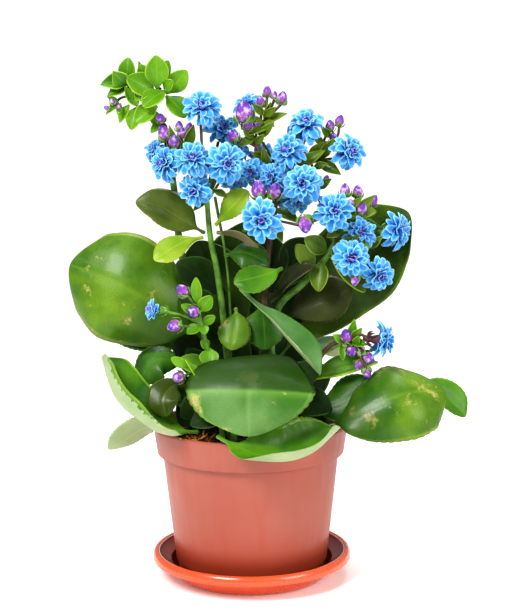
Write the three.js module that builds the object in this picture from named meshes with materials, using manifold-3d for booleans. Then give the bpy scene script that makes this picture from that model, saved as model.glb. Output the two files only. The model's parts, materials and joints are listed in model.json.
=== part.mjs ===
// A double-flowered kalanchoe growing in a round plastic pot that stands in its saucer.
// Millimetres, +Z up. The origin is the centre of the saucer's flat underside.
// The side that is seen from the front looks towards -Y.

import * as THREE from 'three';
import { mergeVertices } from 'three/addons/utils/BufferGeometryUtils.js';
import Module from 'manifold-3d';

const wasm = await Module();
wasm.setup();

// ---------------------------------------------------------------- driving dimensions

const RIM_RADIUS = 60;              // outside of the pot's rim: a 12 cm pot
const POT_TOP = 96;                 // height of the rim above the table
const RIM_BAND = 18;                // height of the rim band
const RIM_BAND_TAPER = 2.4;         // how much the band narrows on its way down
const LEDGE = 3.2;                  // step from the rim band in to the wall below it
const POT_FOOT_RADIUS = 46;         // outside of the pot at its foot
const FOOT_RING_TOP = 10.5;         // the foot ring is set in below this height
const FOOT_RING_STEP = 1.1;
const POT_WALL = 2.2;
const DRAIN_HOLES = 6;
const DRAIN_HOLE_RADIUS = 4;
const DRAIN_CIRCLE = 27;

const SAUCER_RADIUS = 61.6;         // outside of the rolled lip
const SAUCER_BASE_RADIUS = 45.4;
const SAUCER_BOWL_RADIUS = 51.2;    // outside of the bowl just under the lip
const SAUCER_HEIGHT = 16.4;
const SAUCER_LIP_DROP = 6.2;        // how far the lip rolls down outside
const SAUCER_WALL = 2;

const SOIL_TOP = 86;
const GAP = 0.35;                   // clearance between pieces that rest on each other

const ROUND_STEPS = 40;

// ---------------------------------------------------------------- materials

const matte = (color, roughness) =>
  new THREE.MeshStandardMaterial({ color, roughness, metalness: 0 });

const potPlastic = () => matte(0xc4664e, 0.5);
const saucerPlastic = () => matte(0xe0562e, 0.3);
const earth = () => matte(0x241a12, 0.95);
const bark = () => matte(0xb9772e, 0.85);
const stemGreen = () => matte(0x55852c, 0.5);
const stemBrown = () => matte(0x4d3324, 0.55);
const leafDark = () => matte(0x2c5a22, 0.35);
const leafGreen = () => matte(0x3f7a2b, 0.4);
const leafLime = () => matte(0x86a832, 0.45);
const leafOlive = () => matte(0x515a28, 0.45);
const petalBlue = () => matte(0x4aa3e6, 0.6);

// ---------------------------------------------------------------- helpers

const point = ([x, y, z]) => new THREE.Vector3(x, y, z);

function closed(geometry) {
  const bare = geometry.clone();
  bare.deleteAttribute('normal');
  bare.deleteAttribute('uv');
  return mergeVertices(bare, 1e-4);
}

function solid(geometry) {
  const merged = closed(geometry);
  const mesh = new wasm.Mesh({
    numProp: 3,
    vertProperties: Float32Array.from(merged.attributes.position.array),
    triVerts: Uint32Array.from(merged.index.array),
  });
  return new wasm.Manifold(mesh);
}

function geometryOf(manifold) {
  const { vertProperties, triVerts } = manifold.getMesh();
  const geometry = new THREE.BufferGeometry();
  geometry.setAttribute('position', new THREE.BufferAttribute(vertProperties, 3));
  geometry.setIndex(new THREE.BufferAttribute(triVerts, 1));
  geometry.computeVertexNormals();
  return geometry;
}

const join = (solids) => geometryOf(solids.reduce((whole, next) => whole.add(next)));

function piece(name, geometry, material) {
  const mesh = new THREE.Mesh(geometry, material);
  mesh.name = name;
  return mesh;
}

// A profile of [radius, height] pairs turned round +Z.
function turned(profile, steps = ROUND_STEPS) {
  const outline = profile.map(([radius, height]) => new THREE.Vector2(radius, height));
  return new THREE.LatheGeometry(outline, steps).rotateX(Math.PI / 2);
}

// A round rod of one thickness along a smooth route.
function rod(route, radius, sides = 4, steps = 2 * (route.length - 1)) {
  const corners = Array.from({ length: sides }, (_, i) => (2 * Math.PI * i) / sides)
    .map((angle) => new THREE.Vector2(radius * Math.cos(angle), radius * Math.sin(angle)));
  return new THREE.ExtrudeGeometry(new THREE.Shape(corners), {
    steps, extrudePath: new THREE.CatmullRomCurve3(route.map(point)), bevelEnabled: false,
  });
}

// ---------------------------------------------------------------- pot, saucer and soil

function saucer() {
  const lip = SAUCER_RADIUS;
  const lipFoot = SAUCER_HEIGHT - SAUCER_LIP_DROP;
  const profile = [
    [0, 0],
    [SAUCER_BASE_RADIUS, 0],
    [SAUCER_BASE_RADIUS + 3.4, 3.4],
    [SAUCER_BOWL_RADIUS, lipFoot - 0.2],
    [lip - 0.8, lipFoot],
    [lip, lipFoot + 0.8],
    [lip - 0.2, SAUCER_HEIGHT - 1.6],
    [lip - 2, SAUCER_HEIGHT],
    [lip - 4.3, SAUCER_HEIGHT - 1],
    [lip - 5.2, SAUCER_HEIGHT - 2.8],
    [SAUCER_BOWL_RADIUS - 1.2, lipFoot + 0.4],
    [SAUCER_BASE_RADIUS + 2.2, SAUCER_WALL + 2.4],
    [SAUCER_BASE_RADIUS + 0.8, SAUCER_WALL],
    [0, SAUCER_WALL],
  ];
  return piece('saucer', turned(profile), saucerPlastic());
}

const potFloor = SAUCER_WALL + GAP;
const bandFoot = RIM_RADIUS - RIM_BAND_TAPER;
const wallTop = bandFoot - LEDGE;
const wallSlope = (wallTop - POT_FOOT_RADIUS) / (POT_TOP - RIM_BAND - potFloor);
const wallRadius = (height) => POT_FOOT_RADIUS + wallSlope * (height - potFloor);

function pot() {
  const ledge = POT_TOP - RIM_BAND;
  const profile = [
    [0, potFloor],
    [POT_FOOT_RADIUS - FOOT_RING_STEP, potFloor],
    [wallRadius(FOOT_RING_TOP) - FOOT_RING_STEP, FOOT_RING_TOP],
    [wallRadius(FOOT_RING_TOP), FOOT_RING_TOP + 0.8],
    [wallTop, ledge],
    [bandFoot, ledge + 0.6],
    [RIM_RADIUS, POT_TOP - 1],
    [RIM_RADIUS - 0.8, POT_TOP],
    [RIM_RADIUS - POT_WALL, POT_TOP - 0.4],
    [bandFoot - POT_WALL, ledge + POT_WALL + 1],
    [wallTop - POT_WALL, ledge - 1],
    [wallRadius(potFloor + POT_WALL) - POT_WALL - FOOT_RING_STEP, potFloor + POT_WALL],
    [0, potFloor + POT_WALL],
  ];
  let body = solid(turned(profile));
  for (let hole = 0; hole < DRAIN_HOLES; hole += 1) {
    const angle = (2 * Math.PI * hole) / DRAIN_HOLES;
    const drill = new THREE.CylinderGeometry(DRAIN_HOLE_RADIUS, DRAIN_HOLE_RADIUS, 12, 12)
      .rotateX(Math.PI / 2)
      .translate(DRAIN_CIRCLE * Math.cos(angle), DRAIN_CIRCLE * Math.sin(angle), potFloor);
    body = body.subtract(solid(drill));
  }
  return piece('pot', geometryOf(body), potPlastic());
}

function soil() {
  const ledge = POT_TOP - RIM_BAND;
  const clear = POT_WALL + 3 * GAP;
  const foot = potFloor + POT_WALL + GAP;
  const profile = [
    [0, foot],
    [wallRadius(foot) - clear - FOOT_RING_STEP, foot],
    [wallTop - clear, ledge - 1.5],
    [bandFoot - clear, ledge + POT_WALL + 1.5],
    [bandFoot - clear + 0.4, SOIL_TOP - 1.5],
    [bandFoot - clear - 4, SOIL_TOP],
    [0, SOIL_TOP],
  ];
  return piece('soil', turned(profile, 24), earth());
}

// A tuft of dry bark chips lying on the soil inside the front left of the rim.
function barkChips() {
  const chips = [
    [[-38, -37, 88.4], [-27, -41, 91]],
    [[-36, -42, 89], [-26, -36, 90.5]],
    [[-34, -34, 88.4], [-31, -44, 92]],
  ].map((route) => solid(rod(route, 1.3)));
  return piece('bark_chips', join(chips), bark());
}

// ---------------------------------------------------------------- leaves

const TINY = { around: 5, along: 5 };
const SMALL = { around: 7, along: 9 };
const LARGE = { around: 11, along: 12 };

// Places across a leaf's section, from its left edge, along the underside to its right edge
// and back over the upper side, which always has one place more than the underside.
function sectionPlaces(around) {
  const under = (around - 3) / 2;
  const upper = under + 1;
  const places = [{ across: -1, side: 0 }];
  for (let i = 1; i <= under; i += 1) {
    places.push({ across: (2 * i) / (under + 1) - 1, side: -1 });
  }
  places.push({ across: 1, side: 0 });
  for (let i = 1; i <= upper; i += 1) {
    places.push({ across: 1 - (2 * i) / (upper + 1), side: 1 });
  }
  return places;
}

// A leaf: a ball drawn out along a smooth midrib, thin across, with a stalk at its start.
// face is the way the upper side looks, first at the stalk and then at the tip; cup curls
// both halves up towards it and fold tips them up as flat halves, both in radians.
function leafGeometry({ spine, width, face, faceTip = face, cup = 0, fold = 0, stalk = 0.14,
  widest = 0.56, fullness = 0.62, thick = 1.7, stem = 1.4, size = SMALL }) {
  const midrib = new THREE.CatmullRomCurve3(spine.map(point), false, 'centripetal');
  const places = sectionPlaces(size.around);
  const geometry = new THREE.SphereGeometry(1, size.around, size.along);
  const position = geometry.attributes.position;
  const power = Math.log(0.5) / Math.log(widest);
  for (let i = 0; i < position.count; i += 1) {
    const row = Math.floor(i / (size.around + 1));
    const place = places[i % (size.around + 1) % size.around];
    const along = row === 0 ? 0 : (row - 0.85) / (size.along - 0.85);
    const centre = midrib.getPointAt(along);
    if (row > 0 && row < size.along) {
      const tangent = midrib.getTangentAt(along);
      const up = point(face).lerp(point(faceTip), along);
      up.addScaledVector(tangent, -up.dot(tangent)).normalize();
      const right = new THREE.Vector3().crossVectors(tangent, up);
      const blade = Math.max(0, (along - stalk) / (1 - stalk));
      const spread = Math.pow(Math.sin(Math.PI * Math.pow(blade, power)), fullness);
      const half = Math.max((spread * width) / 2, stem * (1 - 0.5 * blade));
      const depth = THREE.MathUtils.lerp(stem * 1.6, thick, Math.min(1, blade * 4)) / 2;
      const bend = cup * Math.min(1, blade * 3);
      const tip = fold * Math.min(1, blade * 3);
      const arc = Math.abs(bend) < 1e-3 ? 1e-3 : bend;
      const out = (half * Math.sin(arc * Math.abs(place.across))) / arc;
      const rise = (half * (1 - Math.cos(arc * place.across))) / arc;
      const skin = place.side * depth * Math.sqrt(1 - place.across ** 2 * 0.8);
      const sideways = Math.sign(place.across) * (out * Math.cos(tip) - rise * Math.sin(tip));
      const upward = out * Math.sin(tip) + rise * Math.cos(tip) + skin;
      centre.addScaledVector(right, sideways).addScaledVector(up, upward);
    }
    position.setXYZ(i, centre.x, centre.y, centre.z);
  }
  return closed(geometry);
}

const LEAVES = [
  ['leaf_left_big', leafDark, { size: LARGE, width: 72, cup: -0.6, stalk: 0.1, fullness: 0.45,
    widest: 0.58, spine: [[-27, -6, 148], [-44, -12, 163], [-76, -16, 183], [-109, 0, 195]],
    face: [-0.1, -0.9, 0.45], faceTip: [-0.5, -0.8, 0.3] }],
  ['leaf_left_under', leafDark, { width: 24, cup: -0.2,
    spine: [[-30, 4, 140], [-60, 8, 150], [-88, 10, 152]], face: [0, -0.75, 0.6] }],
  ['leaf_node_left_back', leafOlive, { width: 26, fold: 0.25, widest: 0.5,
    spine: [[-26, -10, 214], [-40, -7, 222], [-54, -5, 230], [-68, -4, 233]],
    face: [0, -0.8, 0.6] }],
  ['leaf_node_left', leafLime, { width: 17, cup: 0.25, widest: 0.62,
    spine: [[-27, -14, 212], [-38, -20, 210], [-56, -27, 200]], face: [-0.1, -0.8, 0.6] }],
  ['leaf_node_up', leafLime, { width: 17, cup: 0.3, widest: 0.6,
    spine: [[-20, -14, 219], [-12, -18, 228], [0, -20, 240]], face: [-0.5, -0.8, 0.2] }],
  ['leaf_node_right', leafOlive, { width: 16, cup: 0.2, widest: 0.5,
    spine: [[-19, -15, 215], [-8, -24, 214], [6, -30, 207]], face: [0, 0.45, 0.9] }],
  ['leaf_back_upright', leafDark, { width: 64, cup: 0.3, fullness: 0.55,
    spine: [[4, 8, 104], [2, 24, 150], [0, 34, 190], [4, 34, 218]],
    face: [0, -0.9, 0.4] }],
  ['leaf_mid_dark', leafDark, { width: 22, cup: -0.3,
    spine: [[-15, -14, 201], [-2, -20, 203], [12, -20, 196]], face: [0, -0.75, 0.65] }],
  ['leaf_mid_round', leafGreen, { width: 19, cup: -0.15, widest: 0.62, stalk: 0.08,
    spine: [[20, -22, 194], [10, -30, 191], [-9, -34, 187]], face: [0, -0.8, 0.6] }],
  ['leaf_long_folded', leafDark, { width: 26, fold: 0.75, widest: 0.66,
    spine: [[-6, -18, 182], [10, -34, 168], [26, -44, 150], [41, -48, 134]],
    face: [0.55, -0.5, 0.65] }],
  ['leaf_front', leafDark, { size: LARGE, width: 76, cup: -0.2, stalk: 0.14, widest: 0.58,
    fullness: 0.6, spine: [[8, -14, 138], [5, -38, 143], [0, -60, 133], [-1, -70, 103]],
    face: [-0.14, -0.3, 1], faceTip: [-0.05, -1, 0.05] }],
  ['leaf_over_rim', leafDark, { size: LARGE, width: 44, cup: 1, widest: 0.55,
    spine: [[-20, -58, 101], [0, -70, 93], [24, -71, 91], [52, -54, 104]],
    face: [0, -0.6, 0.8], faceTip: [0, 0.4, 1] }],
  ['leaf_rim_left', leafDark, { size: LARGE, width: 42, cup: 0.35, fold: 0.7, widest: 0.5,
    fullness: 0.5, spine: [[-30, -40, 99], [-52, -43, 102], [-75, -36, 115], [-88, -20, 141]],
    face: [0.35, -0.6, 0.75] }],
  ['leaf_hanging', leafGreen, { width: 26, cup: 0.2, widest: 0.45,
    spine: [[-50, -24, 101], [-64, -24, 99], [-86, -20, 84]], face: [-0.4, 0.7, 0.6] }],
  ['leaf_back_left', leafDark, { width: 26, cup: -0.3,
    spine: [[-38, -8, 132], [-56, -14, 138], [-68, -16, 124]], face: [-0.3, -0.7, 0.6] }],
  ['leaf_grey_round', leafOlive, { width: 20, cup: 0.1, stalk: 0.2,
    spine: [[-36, -30, 123], [-44, -36, 127], [-51, -44, 120], [-49, -47, 110]],
    face: [-0.2, -0.9, 0.3] }],
  ['leaf_mid_blotched', leafGreen, { width: 20, cup: -0.2, widest: 0.55,
    spine: [[-8, -20, 170], [-8, -27, 164], [-11, -35, 147]], face: [-0.1, -0.95, 0.3] }],
  ['leaf_mid_shaded', leafDark, { width: 26, cup: -0.2, widest: 0.5,
    spine: [[5, -14, 172], [8, -22, 165], [9, -29, 146]], face: [0.1, -0.95, 0.3] }],
  ['leaf_right_big', leafOlive, { size: LARGE, width: 66, cup: 0.5, widest: 0.55,
    fullness: 0.55, spine: [[16, -2, 134], [42, 10, 164], [72, 18, 194], [98, 8, 224]],
    face: [-0.35, -0.85, 0.35] }],
  ['leaf_right_brown', leafOlive, { width: 16, fold: 0.7,
    spine: [[12, -14, 172], [26, -20, 186], [40, -24, 196]], face: [-0.3, -0.6, 0.7] }],
  ['leaf_right_grey', leafOlive, { width: 30, cup: -0.2,
    spine: [[20, -8, 160], [40, -12, 172], [62, -12, 180]], face: [0, -0.9, 0.4] }],
  ['leaf_right_droop', leafGreen, { size: LARGE, width: 56, cup: -0.8, widest: 0.6,
    fullness: 0.4, spine: [[44, -42, 103], [60, -52, 110], [88, -53, 123], [115, -38, 122]],
    face: [0.1, -0.75, 0.65] }],
  ['leaf_right_far', leafGreen, { width: 24, fold: 0.35,
    spine: [[96, -14, 118], [114, -12, 116], [131, -14, 101]], face: [0.3, -0.6, 0.7] }],
  ['leaf_right_dark', leafDark, { width: 30, cup: -0.3,
    spine: [[34, -30, 107], [53, -34, 114], [76, -32, 127]], face: [0, -0.8, 0.6] }],
  ['leaf_left_inner', leafDark, { width: 46, cup: 0.25, fullness: 0.55,
    spine: [[-9, 8, 128], [-20, 21, 168], [-32, 27, 206]],
    face: [0.1, -0.9, 0.4] }],
  ['leaf_behind_left', leafDark, { width: 52, cup: -0.4, fullness: 0.55,
    spine: [[-16, 12, 130], [-34, 30, 150], [-54, 52, 158], [-66, 70, 146]],
    face: [-0.2, 0.3, 1], faceTip: [-0.5, 0.6, 0.6] }],
  ['leaf_behind_right', leafDark, { width: 50, cup: -0.4, fullness: 0.55,
    spine: [[14, 12, 118], [32, 32, 136], [54, 50, 140], [74, 62, 124]],
    face: [0.3, 0.3, 1], faceTip: [0.5, 0.6, 0.6] }],
  ['leaf_behind_rim', leafGreen, { width: 50, cup: -0.35, fullness: 0.55,
    spine: [[-4, 16, 104], [-8, 34, 118], [-12, 58, 118], [-14, 76, 98]],
    face: [0, 0.3, 1], faceTip: [0, 1, 0.3] }],
];

// ---------------------------------------------------------------- flowers

const FLOWER_CORNERS = 10;

// A double flower head: a green calyx below a domed rosette whose edge goes in and out.
function flowerGeometry(centre, facing, radius) {
  const profile = [
    [0, -0.72], [0.18, -0.66], [0.22, -0.32], [1, 0.04], [0.78, 0.34], [0, 0.36],
  ].map(([across, up]) => new THREE.Vector2(across * radius, up * radius));
  const geometry = new THREE.LatheGeometry(profile, FLOWER_CORNERS);
  const position = geometry.attributes.position;
  const spot = new THREE.Vector3();
  for (let i = 0; i < position.count; i += 1) {
    const corner = Math.floor(i / profile.length) % 2;
    const inPetals = i % profile.length > 2;
    const reach = corner && inPetals ? 0.86 : 1;
    spot.fromBufferAttribute(position, i);
    position.setXYZ(i, spot.x * reach, spot.y, spot.z * reach);
  }
  const turn = new THREE.Quaternion()
    .setFromUnitVectors(new THREE.Vector3(0, 1, 0), point(facing).normalize());
  return geometry.applyQuaternion(turn).translate(...centre);
}

const FLOWERS = [
  ['flower_left_1', [-27, -8, 288], [-0.1, -0.8, 0.6], 9.2],
  ['flower_left_2', [-16, 6, 275], [0.2, -0.7, 0.6], 8.2],
  ['flower_left_3', [-8, 2, 263], [0.4, -0.8, 0.3], 7.4],
  ['flower_left_4', [-48, -12, 256], [-0.7, -0.7, 0.1], 8.8],
  ['flower_left_5', [-32, -26, 259], [-0.1, -0.95, 0.3], 8.6],
  ['flower_left_6', [-13, -26, 256], [0.3, -0.9, 0.1], 9.2],
  ['flower_left_7', [-31, -22, 241], [-0.2, -0.9, -0.2], 8],
  ['flower_mid_1', [2, -6, 250], [-0.3, -0.9, 0.1], 7.4],
  ['flower_mid_2', [0, 12, 289], [-0.4, -0.5, 0.7], 7],
  ['flower_right_1', [35, 0, 277], [-0.1, -0.7, 0.7], 9.2],
  ['flower_right_2', [24, -16, 262], [-0.3, -0.8, 0.5], 8.8],
  ['flower_right_3', [60, 0, 261], [0.5, -0.8, 0.3], 9],
  ['flower_right_4', [32, -30, 244], [0, -1, 0.2], 9.6],
  ['flower_right_5', [15, -14, 248], [-0.4, -0.9, 0.1], 6.8],
  ['flower_right_6', [8, -38, 224], [-0.2, -1, 0], 10],
  ['flower_right_7', [50, -30, 228], [0.1, -1, 0.2], 9.2],
  ['flower_right_8', [66, -18, 214], [0.3, -0.9, 0.3], 7.8],
  ['flower_right_9', [60, -36, 201], [0, -1, 0.1], 9],
  ['flower_right_10', [76, -26, 190], [0.4, -0.9, -0.1], 8.6],
  ['flower_right_11', [88, -4, 214], [0.95, -0.4, 0.1], 9.4],
  ['flower_low_left', [-53, -40, 172], [-0.9, -0.4, 0.2], 5.6],
  ['flower_low_right', [76, -38, 153], [1, 0, -0.1], 8.8],
];

// ---------------------------------------------------------------- stems, stalks and buds

// An egg-shaped bud at the end of its stalk.
function bud([x, y, z], radius, lean = [0, 0, 1]) {
  const turn = new THREE.Quaternion()
    .setFromUnitVectors(new THREE.Vector3(0, 1, 0), point(lean).normalize());
  return new THREE.SphereGeometry(radius, 6, 4).scale(1, 1.3, 1).applyQuaternion(turn)
    .translate(x, y, z);
}

const STALK_RADIUS = 0.9;
const STEM_FOOT = SOIL_TOP + 1;     // stems stand this high so that they clear the soil

// A stem with thinner branches, each of them a route, and buds given as [place, radius].
function spray(name, material, { stem, radius, branches = [], buds = [], extra = [] }) {
  const solids = [solid(rod(stem, radius, 7, 3 * (stem.length - 1)))];
  for (const route of branches) solids.push(solid(rod(route, STALK_RADIUS)));
  for (const [place, size, lean] of buds) solids.push(solid(bud(place, size, lean)));
  for (const geometry of extra) solids.push(solid(geometry));
  return piece(name, join(solids), material);
}

const halfway = (a, b) => a.map((value, i) => (value + b[i]) / 2);

// A small pointed leaf that sits straight on its stem.
const bract = (foot, tip, width, face) => leafGeometry({ spine: [foot, halfway(foot, tip), tip],
  width, face, stalk: 0, widest: 0.55, thick: 1.4, stem: 0.9, size: TINY });

const SHOOT_TOP = [-60, 5, 292];
const SHOOT_TIP = [-53, 3, 303];

const SPRAYS = [
  ['spray_left', stemGreen, { radius: 2.2,
    stem: [[-10, -6, STEM_FOOT], [-14, -10, 140], [-19, -12, 190], [-23, -12, 212],
      [-25, -12, 238]],
    branches: [
      [[-25, -12, 236], [-27, -8, 255], [-28, -5, 278]],
      [[-25, -12, 237], [-21, -2, 255], [-18, 9, 266]],
      [[-25, -12, 233], [-17, -4, 245], [-12, 6, 258]],
      [[-25, -12, 236], [-34, -8, 250], [-41, -7, 254]],
      [[-25, -12, 236], [-29, -14, 248], [-31, -18, 256]],
      [[-25, -12, 234], [-19, -16, 246], [-16, -18, 254]],
      [[-25, -12, 230], [-28, -13, 238], [-29.5, -15, 242]],
      [[-34, -8, 250], [-38, -4, 262], [-41, -5, 276]],
      [[-38, -4, 262], [-44, -2, 266], [-50, -4, 272]],
      [[-38, -4, 262], [-38, -4, 266], [-35, -3, 275]],
      [[-38, -4, 262], [-42, -6, 264], [-44, -8, 267]],
    ],
    buds: [[[-50, -4, 273], 4.6, [-0.4, 0, 1]], [[-44, -9, 268], 4, [0, -0.5, 1]],
      [[-41, -5, 278], 2.6], [[-35, -3, 277], 2.6]] }],
  ['spray_mid', stemBrown, { radius: 1.9,
    stem: [[4, 0, STEM_FOOT], [8, 2, 150], [12, 0, 200], [16, -4, 232], [13, -3, 252],
      [5, -2, 265]],
    branches: [
      [[5, -2, 265], [2, 2, 276], [2, 11, 283]],
      [[4, -1, 268], [-1, -2, 272], [-2, -3, 283]],
      [[6, -2, 264], [10, 4, 280], [12, 8, 296]],
      [[10, 4, 280], [16, 5, 286], [21, 6, 292]],
      [[7, 1, 272], [8, 3, 280], [8, 4, 289]],
      [[4, -2, 266], [-4, -6, 270], [-8, -8, 272]],
      [[13, -3, 251], [9, -1, 251], [5.4, -1, 251]],
      [[16, -4, 233], [26, 0, 250], [35, 4, 268]],
      [[14, -3, 250], [20, -7, 256], [26, -11, 257]],
      [[26, 0, 250], [42, 5, 256], [55, 5, 258]],
      [[16, -4, 234], [24, -12, 240], [31, -22, 242]],
      [[15, -4, 238], [16, -7, 243], [17, -9, 246]],
      [[16, -4, 222], [12, -18, 223], [10, -29, 224]],
      [[42, 5, 256], [46, 8, 268], [50, 9, 275]],
      [[46, 8, 266], [54, 10, 270], [56, 12, 278]],
      [[12, -18, 223], [8, -19, 231], [6, -20, 238]],
      [[12, -18, 223], [20, -26, 222], [31, -32, 220]],
    ],
    buds: [[[12, 8, 297], 3], [[21, 6, 293], 3.6], [[8, 4, 291], 3.2], [[-2, -4, 285], 4.6],
      [[-9, -9, 272], 3.6, [-0.5, -0.5, 1]], [[50, 9, 275], 3.2], [[56, 12, 278], 3.2],
      [[6, -21, 240], 5], [[32, -34, 221], 4.6, [0.2, -0.4, 1]]] }],
  ['spray_right', stemGreen, { radius: 2,
    stem: [[12, -6, STEM_FOOT], [13, -10, 130], [17, -14, 168], [34, -18, 186], [50, -14, 205],
      [58, -8, 226]],
    branches: [
      [[51, -14, 206], [50, -18, 216], [50, -22, 225]],
      [[54, -12, 214], [60, -10, 216], [63, -11, 215]],
      [[48, -15, 202], [54, -20, 202], [59, -28, 202]],
      [[50, -14, 205], [62, -16, 200], [72, -18, 194]],
      [[57, -9, 222], [70, -4, 222], [80.5, -2, 214]],
      [[58, -8, 225], [58, -8, 230], [58, -8, 237]],
      [[58, -8, 225], [63, -4, 230], [66, -3, 236]],
      [[58, -8, 225], [68, -3, 228], [73, -2, 231]],
      [[58, -8, 225], [62, -10, 226], [66, -11, 227]],
    ],
    extra: [
      bract([48, -16, 201], [68, -22, 180], 13, [0.2, -0.8, 0.6]),
      bract([44, -17, 198], [40, -24, 184], 12, [-0.3, -0.9, 0.3]),
    ],
    buds: [[[58, -8, 238], 3.6], [[66, -3, 237], 3.4], [[74, -2, 232], 3.6, [0.5, 0, 1]],
      [[67, -11, 228], 3.4, [0.3, -0.5, 1]]] }],
  ['shoot_top_left', stemBrown, { radius: 1.6,
    stem: [[-14, 4, STEM_FOOT], [-30, 6, 150], [-42, 6, 205], [-45, 3, 240], [-50, 3, 272],
      SHOOT_TOP, [-64, 5, 300]],
    branches: [[SHOOT_TOP, [-56, 4, 298], SHOOT_TIP], [SHOOT_TOP, [-70, 5, 297], [-76, 4, 303]]],
    extra: [
      bract(SHOOT_TIP, [-50, 0, 318], 9, [0.2, -1, 0.2]),
      bract(SHOOT_TIP, [-62, -3, 313], 9, [-0.6, -0.8, 0.5]),
      bract(SHOOT_TIP, [-36, -1, 308], 10, [0.1, -0.5, 0.9]),
      bract(SHOOT_TIP, [-44, -6, 295], 10, [0.5, -0.8, 0.5]),
      bract(SHOOT_TIP, [-59, -5, 296], 9, [-0.3, -0.9, 0.3]),
      bract([-76, 4, 302], [-73, 2, 316], 9, [0, -1, 0.2]),
      bract([-76, 4, 302], [-86, 2, 309], 9, [-0.5, -0.8, 0.5]),
      bract([-76, 4, 301], [-84, -2, 297], 8, [-0.2, -0.9, 0.5]),
      bract([-64, 5, 299], [-72, 0, 288], 8, [-0.3, -0.9, 0.3]),
      bract([-58, 4, 288], [-66, -4, 281], 9, [-0.2, -0.9, 0.4]),
      bract([-62, 5, 295], [-64, 2, 309], 8, [0, -1, 0.2]),
      bract([-50, 3, 272], [-40, -2, 290], 9, [0.4, -0.9, 0.3]),
    ] }],
  ['spray_low_left', stemGreen, { radius: 1.5,
    stem: [[-16, -18, STEM_FOOT], [-22, -28, 130], [-28, -34, 160], [-31, -36, 175]],
    branches: [
      [[-30, -35, 170], [-34, -36, 177], [-38, -36, 182]],
      [[-29, -34, 165], [-31, -37, 167], [-32, -39, 170]],
      [[-28, -34, 160], [-36, -38, 162], [-43, -42, 164]],
      [[-28, -34, 162], [-38, -38, 168], [-48.6, -38.6, 171]],
      [[-21, -26, 124], [-31, -38, 134], [-41, -49, 134]],
    ],
    buds: [[[-39, -36, 183], 3.8, [-0.7, 0, 0.7]], [[-33, -40, 171], 3.8, [-0.5, -0.5, 0.2]],
      [[-44, -42, 163], 4, [-0.7, -0.3, 0]], [[-42, -50, 134], 3.6, [-0.5, -0.6, 0.3]]],
    extra: [
      bract([-30, -35, 173], [-31, -38, 190], 7, [-0.2, -1, 0.1]),
      bract([-30, -35, 170], [-20, -38, 180], 9, [0.2, -1, 0.2]),
      bract([-22, -28, 132], [-42, -26, 140], 12, [0, -0.8, 0.6]),
      bract([-24, -30, 140], [-22, -36, 118], 9, [0.6, -0.6, 0.5]),
    ] }],
  ['spray_low_right', stemBrown, { radius: 1.5,
    stem: [[18, -16, STEM_FOOT + 0.4], [36, -24, 126], [48, -28, 148], [60, -34, 152]],
    branches: [
      [[54, -31, 151], [56, -33, 153], [57, -34, 154]],
      [[56, -32, 151], [59, -36, 149], [60, -37, 147]],
      [[58, -33, 152], [62, -36, 146], [64, -36, 139]],
      [[60, -34, 152], [66, -36, 147], [69, -36, 143]],
      [[66, -36, 147], [67, -38, 140], [69, -38, 134]],
      [[60, -34, 152], [64, -37, 156], [69, -38, 154]],
    ],
    extra: [bract([36, -24, 127], [76, -24, 137], 16, [0, -0.6, 0.8])],
    buds: [[[57, -35, 155], 4], [[60, -38, 146], 3.4, [0, -0.5, -0.5]],
      [[64, -37, 138], 2.8, [0, 0, -1]], [[70, -37, 142], 3.6, [0.5, -0.3, -0.6]],
      [[69, -38, 133], 3, [0, 0, -1]]] }],
];

// ---------------------------------------------------------------- the whole plant

const plant = new THREE.Group();
plant.add(saucer(), pot(), soil(), barkChips());
for (const [name, material, form] of LEAVES) {
  plant.add(piece(name, leafGeometry(form), material()));
}
for (const [name, centre, facing, radius] of FLOWERS) {
  plant.add(piece(name, flowerGeometry(centre, facing, radius), petalBlue()));
}
for (const [name, material, form] of SPRAYS) plant.add(spray(name, material(), form));

export default plant;
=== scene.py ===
import json
import math
import random

import bmesh
import bpy
import numpy as np
from mathutils import Matrix, Quaternion, Vector


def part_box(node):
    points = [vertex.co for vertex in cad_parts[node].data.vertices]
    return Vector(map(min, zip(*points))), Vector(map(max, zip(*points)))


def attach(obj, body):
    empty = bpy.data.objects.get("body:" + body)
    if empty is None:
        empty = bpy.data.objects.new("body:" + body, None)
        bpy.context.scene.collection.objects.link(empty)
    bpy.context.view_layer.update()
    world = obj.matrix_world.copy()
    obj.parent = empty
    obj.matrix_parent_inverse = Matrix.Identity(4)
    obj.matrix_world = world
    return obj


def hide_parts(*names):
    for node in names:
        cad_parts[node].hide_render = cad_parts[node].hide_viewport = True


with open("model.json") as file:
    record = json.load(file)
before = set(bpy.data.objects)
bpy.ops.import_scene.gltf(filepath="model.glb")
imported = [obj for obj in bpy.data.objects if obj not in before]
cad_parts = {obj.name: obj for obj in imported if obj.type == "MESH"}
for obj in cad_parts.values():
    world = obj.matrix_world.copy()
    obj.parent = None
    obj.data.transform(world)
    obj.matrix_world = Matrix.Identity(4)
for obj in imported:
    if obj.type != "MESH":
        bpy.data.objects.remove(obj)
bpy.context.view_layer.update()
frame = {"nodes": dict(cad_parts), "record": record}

# A double-flowered kalanchoe in a plastic pot on its saucer. Lengths here are metres;
# the plant's own pieces are worked out in millimetres and made metres as they are built.

NODES = frame["nodes"]
MM = 0.001


# ---------------------------------------------------------------- handling pieces

def deselect():
    if bpy.context.object and bpy.context.object.mode != "OBJECT":
        bpy.ops.object.mode_set(mode="OBJECT")
    bpy.ops.object.select_all(action="DESELECT")


def make_active(piece):
    deselect()
    bpy.context.view_layer.objects.active = piece
    piece.select_set(True)


def apply_modifier(piece, kind, **settings):
    make_active(piece)
    modifier = piece.modifiers.new(kind.title(), kind)
    for name, value in settings.items():
        setattr(modifier, name, value)
    bpy.ops.object.modifier_apply(modifier=modifier.name)


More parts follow.
